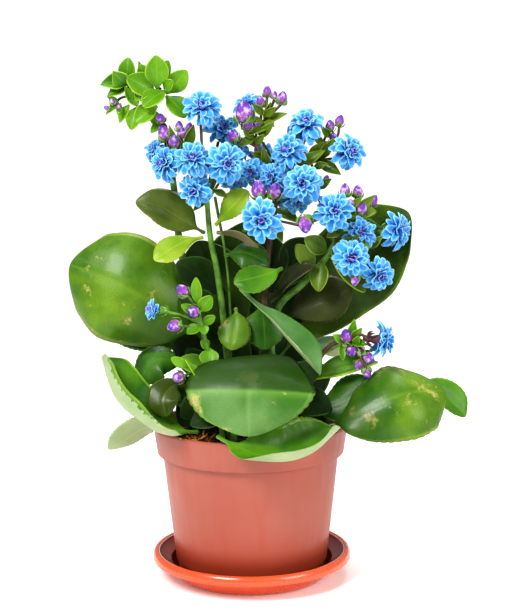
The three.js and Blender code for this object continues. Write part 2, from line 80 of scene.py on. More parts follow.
def join(pieces):
    make_active(pieces[0])
    for piece in pieces[1:]:
        piece.select_set(True)
    if len(pieces) > 1:
        bpy.ops.object.join()
    return pieces[0]


def smooth(piece, angle):
    make_active(piece)
    bpy.ops.object.shade_smooth_by_angle(angle=math.radians(angle))


def settle(piece, name, slot, materials, *nodes):
    """Names a finished piece, gives it its materials and ties it to the frame."""
    piece.name = name
    piece.data.name = name
    for material in materials:
        piece.data.materials.append(material)
    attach(piece, "root")
    if nodes:
        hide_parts(*nodes)


def piece_from(vertices, faces, kinds, uvs):
    """A mesh object from places in millimetres, with material numbers and a blade map."""
    mesh = bpy.data.meshes.new("piece")
    mesh.from_pydata([tuple(MM * np.asarray(v)) for v in vertices], [], faces)
    mesh.polygons.foreach_set("material_index", kinds)
    mesh.polygons.foreach_set("use_smooth", [True] * len(mesh.polygons))
    layer = mesh.uv_layers.new(name="blade")
    layer.data.foreach_set("uv", np.asarray(uvs, float).ravel())
    mesh.update()
    piece = bpy.data.objects.new("piece", mesh)
    bpy.context.scene.collection.objects.link(piece)
    return piece


# ---------------------------------------------------------------- materials

class Finish:
    """A material on a Principled surface, with short calls for the nodes behind it."""

    def __init__(self, name, roughness, coat=0.0, specular=0.5, sheen=0.0):
        self.material = bpy.data.materials.new(name)
        self.material.use_nodes = True
        self.tree = self.material.node_tree
        self.surface = self.tree.nodes["Principled BSDF"]
        for socket, value in (("Roughness", roughness), ("Coat Weight", coat),
                              ("Coat Roughness", 0.18), ("Specular IOR Level", specular),
                              ("Sheen Weight", sheen)):
            self.surface.inputs[socket].default_value = value

    def node(self, kind, **settings):
        made = self.tree.nodes.new(kind)
        for name, value in settings.items():
            setattr(made, name, value)
        return made

    def link(self, source, target):
        self.tree.links.new(source, target)

    def group(self, tree, **values):
        made = self.node("ShaderNodeGroup", node_tree=tree)
        for name, value in values.items():
            made.inputs[name.replace("_", " ")].default_value = value
        return made

    def mix(self, mask, first, second):
        """Mixes two colours, each a value or another node's output."""
        made = self.node("ShaderNodeMix", data_type="RGBA")
        for socket, value in zip((made.inputs[0], made.inputs[6], made.inputs[7]),
                                 (mask, first, second)):
            if isinstance(value, bpy.types.NodeSocket):
                self.link(value, socket)
            elif socket is made.inputs[0]:
                socket.default_value = value
            else:
                socket.default_value = (*value, 1)
        return made.outputs[2]

    def ramp(self, source, *stops):
        """Maps a value to greys or colours given as (place, level or colour)."""
        made = self.node("ShaderNodeValToRGB")
        elements = made.color_ramp.elements
        while len(elements) < len(stops):
            elements.new(0.5)
        for element, (place, level) in zip(elements, stops):
            element.position = place
            colour = (level,) * 3 if isinstance(level, (int, float)) else level
            element.color = (*colour, 1)
        self.link(source, made.inputs["Fac"])
        return made.outputs["Color"]

    def blade_map(self):
        """A blade's own map: the map itself, the way along it and the way across it."""
        uv = self.node("ShaderNodeUVMap", uv_map="blade").outputs["UV"]
        split = self.node("ShaderNodeSeparateXYZ")
        self.link(uv, split.inputs[0])
        return uv, split.outputs[0], split.outputs[1]

    def colour(self, source):
        self.link(source, self.surface.inputs["Base Color"])

    def roughness(self, source):
        self.link(source, self.surface.inputs["Roughness"])

    def relief(self, height, strength, distance):
        bump = self.node("ShaderNodeBump")
        bump.inputs["Strength"].default_value = strength
        bump.inputs["Distance"].default_value = distance
        self.link(height, bump.inputs["Height"])
        self.link(bump.outputs["Normal"], self.surface.inputs["Normal"])


def new_group(name, inputs, outputs):
    tree = bpy.data.node_groups.new(name, "ShaderNodeTree")
    for label, value in inputs:
        socket = tree.interface.new_socket(label, in_out="INPUT", socket_type="NodeSocketFloat")
        socket.default_value = value
    for label in outputs:
        tree.interface.new_socket(label, in_out="OUTPUT", socket_type="NodeSocketFloat")
    return tree, tree.nodes.new("NodeGroupInput"), tree.nodes.new("NodeGroupOutput")


def math_node(tree, operation, *values):
    made = tree.nodes.new("ShaderNodeMath")
    made.operation = operation
    for socket, value in zip(made.inputs, values):
        if isinstance(value, bpy.types.NodeSocket):
            tree.links.new(value, socket)
        else:
            socket.default_value = value
    return made.outputs[0]


def mottle_group():
    """Soft patches and fine grain in the piece's own space."""
    tree, given, result = new_group(
        "mottle", [("Patch Size", 60.0), ("Grain Size", 900.0)], ["Patches", "Grain"])
    place = tree.nodes.new("ShaderNodeTexCoord").outputs["Object"]
    for label, detail, out in (("Patch Size", 3.0, "Patches"), ("Grain Size", 2.0, "Grain")):
        noise = tree.nodes.new("ShaderNodeTexNoise")
        noise.inputs["Detail"].default_value = detail
        tree.links.new(place, noise.inputs["Vector"])
        tree.links.new(given.outputs[label], noise.inputs["Scale"])
        tree.links.new(noise.outputs["Fac"], result.inputs[out])
    return tree


def blade_group():
    """Midrib, side veins, margin, the way along and off centre, from a blade's own map."""
    tree, given, result = new_group(
        "blade", [("Veins", 9.0), ("Sweep", 3.2)],
        ["Midrib", "Side Veins", "Margin", "Along", "Off Centre"])

    def times(one, other):
        return math_node(tree, "MULTIPLY", one, other)

    def less(one, other):
        return math_node(tree, "SUBTRACT", one, other)

    def at_least_zero(value):
        return math_node(tree, "MAXIMUM", value, 0.0)

    uv = tree.nodes.new("ShaderNodeUVMap")
    uv.uv_map = "blade"
    split = tree.nodes.new("ShaderNodeSeparateXYZ")
    tree.links.new(uv.outputs["UV"], split.inputs[0])
    along, across = split.outputs[0], split.outputs[1]
    off = times(math_node(tree, "ABSOLUTE", less(across, 0.5)), 2.0)
    swept = less(times(along, given.outputs["Veins"]), times(off, given.outputs["Sweep"]))
    wave = math_node(tree, "ABSOLUTE", math_node(tree, "SINE", times(swept, math.pi)))
    side_veins = times(at_least_zero(less(1.0, times(wave, 5.0))), less(1.0, off))
    for label, value in (("Midrib", at_least_zero(less(1.0, times(off, 14.0)))),
                         ("Side Veins", side_veins),
                         ("Margin", at_least_zero(times(less(off, 0.9), 10.0))),
                         ("Along", along), ("Off Centre", off)):
        tree.links.new(value, result.inputs[label])
    return tree


MOTTLE = mottle_group()
BLADE = blade_group()
DRY_TAN = (0.5, 0.42, 0.14)
SHADED_GREEN = (0.018, 0.06, 0.002)
FOOT_SHADE_RANGE = 0.1  # metres up a pot within which the painted shade at its foot fades out


def leaf_finish(name, deep, fresh, edge, vein, roughness=0.36, blemish=0.0, coat=0.06,
                shaded_to=0.0, ridge=0.0):
    """Fleshy leaf skin: two greens in patches, paler veins and margin, dry marks, and painted
    shade towards the stalk that fades out along the blade or stops at a ridge across it,
    where a painted highlight line runs."""
    finish = Finish(name, roughness, coat=coat, specular=0.24)
    mottle = finish.group(MOTTLE, Patch_Size=38.0, Grain_Size=1400.0)
    blade = finish.group(BLADE)
    patches = finish.ramp(mottle.outputs["Patches"], (0.36, 0.0), (0.66, 1.0))
    colour = finish.mix(patches, deep, fresh)
    fine = finish.ramp(mottle.outputs["Grain"], (0.35, 0.0), (0.8, 0.35))
    colour = finish.mix(fine, colour, [0.75 * c for c in deep])
    for mask, strength, tint in (("Side Veins", 0.12, vein), ("Midrib", 0.4, vein),
                                 ("Margin", 0.85, edge)):
        drawn = finish.ramp(blade.outputs[mask], (0.0, 0.0), (1.0, strength))
        colour = finish.mix(drawn, colour, tint)
    if blemish:
        marks = finish.node("ShaderNodeTexNoise")
        marks.inputs["Scale"].default_value = 62.0
        marks.inputs["Detail"].default_value = 6.0
        marks.inputs["Roughness"].default_value = 0.65
        finish.link(finish.node("ShaderNodeTexCoord").outputs["Object"], marks.inputs["Vector"])
        rarity = 0.64 - 0.1 * blemish
        dry = finish.ramp(marks.outputs["Fac"], (rarity, 0.0), (rarity + 0.08, 0.75))
        colour = finish.mix(dry, colour, DRY_TAN)
    # Painted shade: the blade darkens towards its stalk.
    if shaded_to:
        inner = finish.ramp(blade.outputs["Along"], (shaded_to - 0.4, 0.9), (shaded_to, 0.0))
        colour = finish.mix(inner, colour, [0.5 * c for c in deep])
    # Painted shade behind the ridge, then a painted highlight line along the ridge itself.
    if ridge:
        behind = finish.ramp(blade.outputs["Along"], (ridge - 0.25, 1.0), (ridge - 0.02, 0.85),
                             (ridge, 0.0))
        colour = finish.mix(behind, colour, SHADED_GREEN)
        painted_ridge_highlight = finish.ramp(blade.outputs["Along"], (ridge - 0.03, 0.0), (ridge, 0.28),
                            (ridge + 0.05, 0.0))
        colour = finish.mix(painted_ridge_highlight, colour, edge)
    finish.colour(colour)
    finish.roughness(finish.ramp(mottle.outputs["Patches"], (0.3, roughness - 0.08),
                                 (0.75, roughness + 0.16)))
    finish.relief(mottle.outputs["Grain"], 0.35, 0.0004)
    return finish.material


def petal_finish(name, foot, shade, body, rim):
    """Petals darker towards the foot, a violet tinge of their own and then painted shade, with
    pale rims that are partly their own paler edge and partly painted highlight, and fine dark
    streaks along them.
    """
    finish = Finish(name, 0.5, specular=0.3, sheen=0.15)
    uv, along, _ = finish.blade_map()
    mottle = finish.group(MOTTLE, Patch_Size=170.0, Grain_Size=2200.0)
    # Violet at the foot, then painted shade, the blue body, and a pale tip that is partly painted
    # highlight.
    colour = finish.ramp(along, (0.0, foot), (0.3, shade), (0.55, body), (0.85, body), (1.0, rim))
    blade = finish.group(BLADE)
    # Pale rims across the petal: partly its own paler edge, partly painted highlight.
    pale = finish.ramp(blade.outputs["Off Centre"], (0.45, 0.0), (0.95, 0.85))
    colour = finish.mix(pale, colour, rim)
    streaks = finish.node("ShaderNodeTexWave", wave_type="BANDS", bands_direction="Y")
    streaks.inputs["Scale"].default_value = 3.0
    streaks.inputs["Distortion"].default_value = 1.4
    finish.link(uv, streaks.inputs["Vector"])
    lines = finish.ramp(streaks.outputs["Fac"], (0.3, 0.35), (0.7, 0.0))
    colour = finish.mix(lines, colour, shade)
    patches = finish.ramp(mottle.outputs["Patches"], (0.35, 0.35), (0.55, 0.0))
    finish.colour(finish.mix(patches, colour, shade))
    finish.relief(streaks.outputs["Fac"], 0.3, 0.0003)
    return finish.material


def bud_finish():
    """Closed petals: violet at the tip, pinkish white streaks down to the calyx."""
    finish = Finish("bud_violet", 0.45, specular=0.4)
    up = finish.blade_map()[2]
    mottle = finish.group(MOTTLE, Patch_Size=420.0, Grain_Size=2500.0)
    body = finish.ramp(up, (0.2, (0.42, 0.15, 0.34)), (0.45, (0.3, 0.07, 0.38)),
                       (0.7, (0.14, 0.03, 0.36)), (0.95, (0.06, 0.012, 0.24)))
    pale = finish.ramp(mottle.outputs["Patches"], (0.5, 0.0), (0.68, 0.75))
    finish.colour(finish.mix(pale, body, (0.78, 0.6, 0.82)))
    finish.relief(mottle.outputs["Grain"], 0.2, 0.0003)
    return finish.material


def skin_finish(name, deep, fresh):
    """Stem, stalk and calyx skin."""
    finish = Finish(name, 0.45, coat=0.08, specular=0.4)
    mottle = finish.group(MOTTLE, Patch_Size=180.0, Grain_Size=1800.0)
    patches = finish.ramp(mottle.outputs["Patches"], (0.35, 0.0), (0.65, 1.0))
    finish.colour(finish.mix(patches, deep, fresh))
    finish.relief(mottle.outputs["Grain"], 0.25, 0.0004)
    return finish.material


def plastic_finish(name, base, faded, dark, roughness, coat, marked=0.0, foot=0.0):
    """Moulded plastic: faint clouding, vertical flow marks and painted shade that darkens the foot."""
    finish = Finish(name, roughness, coat=coat, specular=0.5)
    mottle = finish.group(MOTTLE, Patch_Size=22.0, Grain_Size=1500.0)
    place = finish.node("ShaderNodeTexCoord")
    stretch = finish.node("ShaderNodeMapping")
    stretch.inputs["Scale"].default_value = (150.0, 150.0, 9.0)
    finish.link(place.outputs["Object"], stretch.inputs["Vector"])
    flow = finish.node("ShaderNodeTexNoise")
    flow.inputs["Scale"].default_value = 1.0
    flow.inputs["Detail"].default_value = 4.0
    finish.link(stretch.outputs["Vector"], flow.inputs["Vector"])
    clouds = finish.ramp(mottle.outputs["Patches"], (0.35, 0.0), (0.7, 0.6))
    colour = finish.mix(clouds, base, faded)
    marks = finish.ramp(flow.outputs["Fac"], (0.5, 0.0), (0.75, marked))
    colour = finish.mix(marks, colour, dark)
    # Painted shade: the colour darkens towards the foot of the pot.
    if foot:
        split = finish.node("ShaderNodeSeparateXYZ")
        finish.link(place.outputs["Object"], split.inputs[0])
        height = finish.node("ShaderNodeMath", operation="DIVIDE")
        finish.link(split.outputs[2], height.inputs[0])
        height.inputs[1].default_value = FOOT_SHADE_RANGE
        painted_foot_shade = finish.ramp(height.outputs[0], (0.1, 0.85), (foot / FOOT_SHADE_RANGE, 0.0))
        colour = finish.mix(painted_foot_shade, colour, dark)
    finish.colour(colour)
    finish.roughness(finish.ramp(flow.outputs["Fac"], (0.3, roughness - 0.05),
                                 (0.7, roughness + 0.1)))
    finish.relief(mottle.outputs["Grain"], 0.12, 0.0003)
    return finish.material


def crumb_finish(name, deep, fresh):
    """Peat and bark: rough, dark and crumbly."""
    finish = Finish(name, 0.95, specular=0.2)
    mottle = finish.group(MOTTLE, Patch_Size=260.0, Grain_Size=1300.0)
    patches = finish.ramp(mottle.outputs["Patches"], (0.4, 0.0), (0.62, 1.0))
    finish.colour(finish.mix(patches, deep, fresh))
    finish.relief(mottle.outputs["Grain"], 0.8, 0.001)
    return finish.material


POT_PLASTIC = plastic_finish("pot_plastic", (0.36, 0.075, 0.042), (0.4, 0.12, 0.085),
                             (0.4, 0.05, 0.014), 0.45, 0.1, marked=0.3, foot=0.045)
SAUCER_PLASTIC = plastic_finish("saucer_plastic", (0.72, 0.085, 0.018), (0.74, 0.12, 0.04),
                                (0.6, 0.05, 0.012), 0.24, 0.5)
# Dark maroon for the saucer's inside: painted shade.
SAUCER_INSIDE_SHADE = plastic_finish("saucer_inside_shade", (0.2, 0.016, 0.008), (0.26, 0.035, 0.02),
                               (0.1, 0.008, 0.006), 0.35, 0.25)
# A thin pale ring inside the saucer's lip: a painted highlight.
SAUCER_HIGHLIGHT = plastic_finish("saucer_highlight_bead", (0.85, 0.5, 0.4), (0.9, 0.6, 0.5),
                             (0.8, 0.4, 0.3), 0.2, 0.5)
PEAT = crumb_finish("peat", (0.012, 0.008, 0.005), (0.05, 0.028, 0.015))
BARK = crumb_finish("bark", (0.42, 0.16, 0.02), (0.85, 0.5, 0.12))
BARK_DARK = crumb_finish("bark_dark", (0.1, 0.03, 0.01), (0.3, 0.12, 0.03))
STEM_GREEN = skin_finish("stem_green", (0.05, 0.13, 0.012), (0.13, 0.3, 0.03))
STEM_BROWN = skin_finish("stem_brown", (0.05, 0.018, 0.012), (0.12, 0.07, 0.03))
CALYX = skin_finish("calyx_green", (0.1, 0.24, 0.03), (0.2, 0.42, 0.06))
CALYX_DARK = skin_finish("calyx_dark", (0.06, 0.012, 0.02), (0.13, 0.035, 0.035))
PETAL = petal_finish("petal_blue", (0.07, 0.015, 0.26), (0.015, 0.09, 0.52), (0.045, 0.38, 0.84),
                     (0.36, 0.8, 0.97))
PETAL_HEART = petal_finish("petal_heart", (0.22, 0.01, 0.12), (0.12, 0.03, 0.4),
                           (0.12, 0.2, 0.72), (0.5, 0.45, 0.9))
BUD = bud_finish()

def underside(name, *greens):
    """The duller lower skin of a leaf."""
    return leaf_finish(name, *greens, roughness=0.5, coat=0.05)


UNDER = underside("leaf_under", (0.3, 0.41, 0.18), (0.45, 0.53, 0.3), (0.42, 0.5, 0.18),
                  (0.52, 0.6, 0.37))
UNDER_OLIVE = underside("leaf_under_olive", (0.12, 0.12, 0.05), (0.22, 0.18, 0.1),
                        (0.28, 0.24, 0.08), (0.28, 0.24, 0.14))
UNDER_DEEP = underside("leaf_under_deep", (0.08, 0.16, 0.04), (0.17, 0.27, 0.09),
                       (0.22, 0.32, 0.08), (0.26, 0.34, 0.14))
UNDER_FRESH = underside("leaf_under_fresh", (0.16, 0.33, 0.03), (0.28, 0.46, 0.06),
                        (0.38, 0.55, 0.08), (0.36, 0.54, 0.12))
LEAF_DARK = leaf_finish("leaf_dark", (0.014, 0.06, 0.003), (0.055, 0.18, 0.007),
                        (0.17, 0.4, 0.015), (0.08, 0.24, 0.015))
# Dry marks, and painted shade towards the stalk.
LEAF_MARKED = leaf_finish("leaf_marked", (0.03, 0.115, 0.003), (0.15, 0.27, 0.01),
                          (0.32, 0.42, 0.05), (0.15, 0.29, 0.02), blemish=0.36, coat=0.12,
                          shaded_to=0.55)
# Grey-green, partly the leaf's own colour and partly a painted reflection of the bright sky.
LEAF_GREY_AND_SKY_REFLECTION = leaf_finish("leaf_grey_and_sky_reflection", (0.05, 0.16, 0.025), (0.13, 0.27, 0.08),
                          (0.2, 0.42, 0.06), (0.2, 0.38, 0.1), roughness=0.42, blemish=0.42,
                          coat=0.1)
# Grey-green, partly the leaf's own and partly a painted reflection of the bright sky; painted shade behind
# its ridge and a painted highlight line along it.
LEAF_FRONT = leaf_finish("leaf_front", (0.05, 0.16, 0.018), (0.14, 0.27, 0.075),
                         (0.24, 0.46, 0.06), (0.18, 0.34, 0.1), roughness=0.42, blemish=0.5,
                         coat=0.05, ridge=0.69)
LEAF_GREEN = leaf_finish("leaf_green", (0.03, 0.13, 0.004), (0.12, 0.3, 0.01),
                         (0.3, 0.5, 0.03), (0.18, 0.38, 0.03))
# Near-black green: painted shade for leaves deep inside the plant.
LEAF_SHADED = leaf_finish("leaf_shaded", (0.006, 0.018, 0.002), (0.02, 0.06, 0.004),
                          (0.05, 0.12, 0.01), (0.03, 0.08, 0.008), roughness=0.7, coat=0.0)
LEAF_FRESH = leaf_finish("leaf_fresh", (0.05, 0.18, 0.003), (0.16, 0.37, 0.006),
                         (0.38, 0.56, 0.03), (0.28, 0.48, 0.04))
LEAF_LIME = leaf_finish("leaf_lime", (0.14, 0.27, 0.008), (0.32, 0.44, 0.02),
                        (0.62, 0.62, 0.08), (0.4, 0.5, 0.06))
LEAF_OLIVE = leaf_finish("leaf_olive", (0.04, 0.07, 0.005), (0.11, 0.15, 0.012),
                         (0.22, 0.26, 0.03), (0.16, 0.2, 0.025))
LEAF_DEEP = leaf_finish("leaf_deep", (0.016, 0.045, 0.002), (0.075, 0.15, 0.005),
                        (0.14, 0.25, 0.01), (0.07, 0.13, 0.008), roughness=0.42)
LEAF_TWIG = leaf_finish("leaf_twig", (0.045, 0.1, 0.004), (0.15, 0.25, 0.012),
                        (0.32, 0.42, 0.04), (0.22, 0.3, 0.03))
LEAF_BROWN = leaf_finish("leaf_brown", (0.016, 0.024, 0.004), (0.055, 0.07, 0.01),
                         (0.16, 0.16, 0.03), (0.09, 0.09, 0.02), roughness=0.42)
LEAF_BLOTCHED = leaf_finish("leaf_blotched", (0.035, 0.11, 0.004), (0.14, 0.26, 0.01),
                            (0.34, 0.46, 0.04), (0.16, 0.3, 0.02), blemish=0.62)


# ---------------------------------------------------------------- leaves

def merged_copy(node):
    """A merged bmesh copy of a CAD node, in millimetres."""
    shape = bmesh.new()
    shape.from_mesh(NODES[node].data)
    bmesh.ops.remove_doubles(shape, verts=shape.verts, dist=1e-6)
    bmesh.ops.scale(shape, vec=(1000, 1000, 1000), verts=shape.verts)
    shape.verts.ensure_lookup_table()
    return shape


def poles_of(shape):
    """The two points where most edges meet: a turned or drawn-out piece's two ends."""
    return sorted(shape.verts, key=lambda v: -len(v.link_edges))[:2]


def rings_from(pole):
    """The rings of points round a piece, walking away from one of its two poles."""
    seen, rings, edge_of = {pole}, [], {pole}
    while edge_of:
        step = {e.other_vert(v) for v in edge_of for e in v.link_edges} - seen
        if not step:
            break
        rings.append(step)
        seen |= step
        edge_of = step
    return rings


def ordered_rings(pole):
    """Rings as lists that all start at the same column and run the same way round."""
    rings = rings_from(pole)
    first = rings[0]
    around = len(first)
    start = min(first, key=lambda v: (round(v.co.x, 3), round(v.co.y, 3), v.co.z))
    order = [start]
    while len(order) < around:
        for edge in order[-1].link_edges:
            other = edge.other_vert(order[-1])
            if other in first and other not in order:
                order.append(other)
                break
    centre = sum((v.co for v in order), Vector()) / around
    ahead = sum((v.co for v in rings[1]), Vector()) / around - centre
    turn = sum(((a.co - centre).cross(b.co - centre) for a, b in zip(order, order[1:])), Vector())
    if turn.dot(ahead) > 0:
        order.reverse()
    lists = [order]
    for ring in rings[1:-1]:
        reach = [{e.other_vert(v) for e in v.link_edges} & ring for v in lists[-1]]
        lists.append([(reach[i] & reach[i - 1]).pop() for i in range(around)])
    return lists, next(iter(rings[-1]))


def leaf_frame(node):
    """A leaf's rings from its stalk, split at its margins into upper and lower places."""
    shape = merged_copy(node)
    one, two = poles_of(shape)
    lists, far = ordered_rings(one)

    def girth(ring):
        return sum((a.co - b.co).length for a, b in zip(ring, ring[1:]))

    if girth(lists[1]) > girth(lists[-2]):
        one, two = two, one
        lists, far = ordered_rings(one)
    around = len(lists[0])
    opposite = (around - 3) // 2 + 1
    widths = [[(ring[i].co - ring[(i + opposite) % around].co).length for i in range(around)]
              for ring in lists]
    widest = max(range(len(lists)), key=lambda k: max(widths[k]))
    left = widths[widest].index(max(widths[widest]))
    upper, lower = [], []
    for ring in lists:
        turned = [np.array(ring[(left + i) % around].co) for i in range(around)]
        lower.append(turned[:opposite + 1])
        upper.append([turned[0]] + turned[:opposite - 1:-1])
    ends = np.array(one.co), np.array(far.co)
    shape.free()
    return np.array(upper), np.array(lower), ends


def spread_out(points, count, before, after):
    """Smooth in-between points along the first axis, with one guide point at each end."""
    guided = np.concatenate([before[None], points, after[None]])
    steps = np.linspace(0, len(points) - 1, count)
    cell = np.minimum(steps.astype(int), len(points) - 2)
    t = (steps - cell).reshape((-1,) + (1,) * (points.ndim - 1))
    p0, p1, p2, p3 = (guided[cell + i] for i in range(4))
    return 0.5 * (2 * p1 + (p2 - p0) * t + (2 * p0 - 5 * p1 + 4 * p2 - p3) * t ** 2
                  + (3 * p1 - p0 - 3 * p2 + p3) * t ** 3)


def fine_side(side, ends, rows, columns):
    """One side of a leaf as a fine grid of rows from the stalk to the tip."""
    across = np.swapaxes(side, 0, 1)
    across = spread_out(across, columns, 2 * across[0] - across[1], 2 * across[-1] - across[-2])
    grid = np.swapaxes(across, 0, 1)
    tip = np.repeat(ends[1][None], columns, 0)
    base = np.repeat(ends[0][None], columns, 0)
    body = np.concatenate([grid, tip[None]])
    fine = spread_out(body, rows, 2 * grid[0] - grid[1], grid[-1][::-1])
    return np.concatenate([base[None], fine])


GROOVE_WIDTH = 1.1
GROOVE_DEPTH = 0.45
VEIN_DEPTH = 0.07


def unit(vectors):
    return vectors / np.maximum(np.linalg.norm(vectors, axis=-1, keepdims=True), 1e-9)


def leaf_piece(upper, lower, seed, scallop, pitch, ripple, curl):
    """Closes two fine grids into a fleshy leaf with a scalloped margin and a sunk midrib.

    The scallops stand out and repeat by scallop and pitch, the blade waves by ripple and its
    left edge rolls up by curl, all in millimetres."""
    rng = random.Random(seed)
    rows, columns = upper.shape[:2]
    place = np.linspace(-1, 1, columns)[None, :, None]
    length = np.cumsum(np.r_[0, np.linalg.norm(np.diff(upper[:, columns // 2], axis=0), axis=1)])
    along = (length / length[-1])[:, None, None]
    sideways = unit(upper[:, -1:] - upper[:, :1])
    forwards = unit(np.gradient((upper[:, :1] + upper[:, -1:]) / 2, axis=0))
    width = np.linalg.norm(upper[:, -1:] - upper[:, :1], axis=-1, keepdims=True)
    wide = np.clip(width / width.max() * 1.6 - 0.35, 0, 1)
    for edge, sign in ((0, -1), (columns - 1, 1)):
        run = upper[:, edge]
        arc = np.cumsum(np.r_[0, np.linalg.norm(np.diff(run, axis=0), axis=1)])[:, None, None]
        wave = np.abs(np.sin(math.pi * arc / pitch + rng.random())) - 0.55
        heading = unit(np.gradient(run, axis=0))[:, None]
        outward = np.cross(unit(np.cross(forwards, sideways)), heading) * -sign
        outward = outward * np.sign((outward * sideways * sign).sum(-1, keepdims=True) + 1e-9)
        reach = np.clip(place * sign, 0, 1) ** 7
        push = outward * wave * scallop * reach * wide
        upper = upper + push
        lower = lower + push
    normal = unit(np.cross(sideways, forwards))
    phase = rng.random() * 6
    swell = (np.sin(along * 9 + phase) * np.clip(place, 0, 1) ** 2
             + np.sin(along * 8 + phase + 2) * np.clip(-place, 0, 1) ** 2)
    swell = swell * ripple * wide * np.clip(width / 20, 0.3, 1.6)
    rolled = np.clip(-place, 0, 1) ** 3 * curl * wide
    inward = sideways * -np.sign(place) * rolled * 0.45
    upper = upper + inward
    lower = lower + inward
    swell = swell + rolled
    middle = np.exp(-(place * width / 2 / GROOVE_WIDTH) ** 2) * GROOVE_DEPTH * wide
    veins = np.clip(1 - 4 * np.abs(np.sin(math.pi * (along * 9 - np.abs(place) * 3.2))), 0, 1)
    veins = veins * VEIN_DEPTH * wide * (1 - np.abs(place)) * np.clip(width / 25, 0.3, 1.5)
    upper = upper + normal * (swell - middle - veins)
    lower = lower + normal * (swell - middle)

    vertices, number = [], {}

    def corner(side, row, column):
        if row == 0 or row == rows - 1:
            column, side = 0, 0
        if column in (0, columns - 1):
            side = 0
        key = (side, row, column)
        if key not in number:
            number[key] = len(vertices)
            grid = lower if side else upper
            vertices.append(grid[row, column])
        return number[key]

    faces, kinds, uvs = [], [], []
    flat = along[:, 0, 0]
    for side in (0, 1):
        for row in range(rows - 1):
            for column in range(columns - 1):
                ring = [(row, column), (row, column + 1), (row + 1, column + 1), (row + 1, column)]
                if side:
                    ring.reverse()
                ids, spots = [], []
                for r, c in ring:
                    index = corner(side, r, c)
                    if index not in ids:
                        ids.append(index)
                        spots.append((flat[r], c / (columns - 1)))
                if len(ids) > 2:
                    faces.append(ids)
                    kinds.append(side)
                    uvs.extend(spots)
    return piece_from(vertices, faces, kinds, uvs)


LOOKS = {
    "leaf_left_big": (LEAF_MARKED, UNDER), "leaf_front": (LEAF_FRONT, UNDER),
    "leaf_right_droop": (LEAF_MARKED, UNDER), "leaf_node_left": (LEAF_LIME, UNDER),
    "leaf_node_up": (LEAF_LIME, UNDER), "leaf_node_left_back": (LEAF_OLIVE, UNDER_OLIVE),
    "leaf_node_right": (LEAF_OLIVE, UNDER_OLIVE), "leaf_grey_round": (LEAF_OLIVE, UNDER_OLIVE),
    "leaf_right_big": (LEAF_DEEP, UNDER_DEEP), "leaf_right_brown": (LEAF_BROWN, UNDER_OLIVE),
    "leaf_over_rim": (LEAF_GREEN, UNDER), "leaf_rim_left": (LEAF_GREEN, UNDER),
    "leaf_long_folded": (LEAF_GREY_AND_SKY_REFLECTION, UNDER), "leaf_left_inner": (LEAF_DEEP, UNDER_DEEP),
    "leaf_back_upright": (LEAF_DEEP, UNDER_DEEP),
    "leaf_right_grey": (LEAF_BROWN, UNDER_OLIVE), "leaf_mid_round": (LEAF_GREEN, UNDER),
    "leaf_mid_blotched": (LEAF_BLOTCHED, UNDER), "leaf_hanging": (LEAF_GREEN, UNDER),
    "leaf_right_far": (LEAF_GREEN, UNDER),
}
LARGE_LEAVES = {"leaf_left_big", "leaf_front", "leaf_over_rim", "leaf_rim_left",
                "leaf_right_big", "leaf_right_droop", "leaf_back_upright", "leaf_left_inner",
                "leaf_behind_left", "leaf_behind_right", "leaf_behind_rim"}
SCALLOPS = {"leaf_left_big": 0.05, "leaf_right_big": 0.12, "leaf_long_folded": 0.15,
            "leaf_right_droop": 0.5, "leaf_rim_left": 0.1, "leaf_over_rim": 0.3,
            "leaf_node_left": 0.35, "leaf_node_left_back": 0.2}
RIPPLES = {"leaf_rim_left": 1.5, "leaf_over_rim": 1.2, "leaf_left_big": 1.3}
CURLS = {"leaf_rim_left": 9, "leaf_over_rim": 8}
LARGE = dict(rows=110, columns=25, scallop=0.6, pitch=4.6, ripple=0.9)
SMALL = dict(rows=56, columns=15, scallop=0.5, pitch=3.4, ripple=0.4)
SLOTS = {s["node"]: s["material_slot"] for s in frame["record"]["subparts"]}


def grow_leaf(node, seed):
    form = LARGE if node in LARGE_LEAVES else SMALL
    upper, lower, ends = leaf_frame(node)
    upper = fine_side(upper, ends, form["rows"], form["columns"])
    lower = fine_side(lower, ends, form["rows"], form["columns"])
    piece = leaf_piece(upper, lower, seed, SCALLOPS.get(node, form["scallop"]), form["pitch"],
                       RIPPLES.get(node, form["ripple"]), CURLS.get(node, 0))
    settle(piece, node + "_blade", SLOTS[node], LOOKS.get(node, (LEAF_DARK, UNDER)), node)


for number, node in enumerate(sorted(n for n in NODES if n.startswith("leaf_"))):
    grow_leaf(node, number)


# ---------------------------------------------------------------- shaping by hand

def open_mesh(piece):
    make_active(piece)
    bpy.ops.object.mode_set(mode="EDIT")
    bpy.ops.mesh.select_mode(type="VERT")
    bpy.ops.mesh.select_all(action="DESELECT")


def close_mesh():
    bpy.ops.mesh.select_all(action="SELECT")
    bpy.ops.mesh.normals_make_consistent(inside=False)
    bpy.ops.object.mode_set(mode="OBJECT")


def pick(piece, test):
    """Selects the points whose place passes a test, while the mesh is open."""
    bpy.ops.mesh.select_all(action="DESELECT")
    shape = bmesh.from_edit_mesh(piece.data)
    for corner in shape.verts:
        corner.select = test(corner.co)
    shape.select_flush_mode()
    bmesh.update_edit_mesh(piece.data)


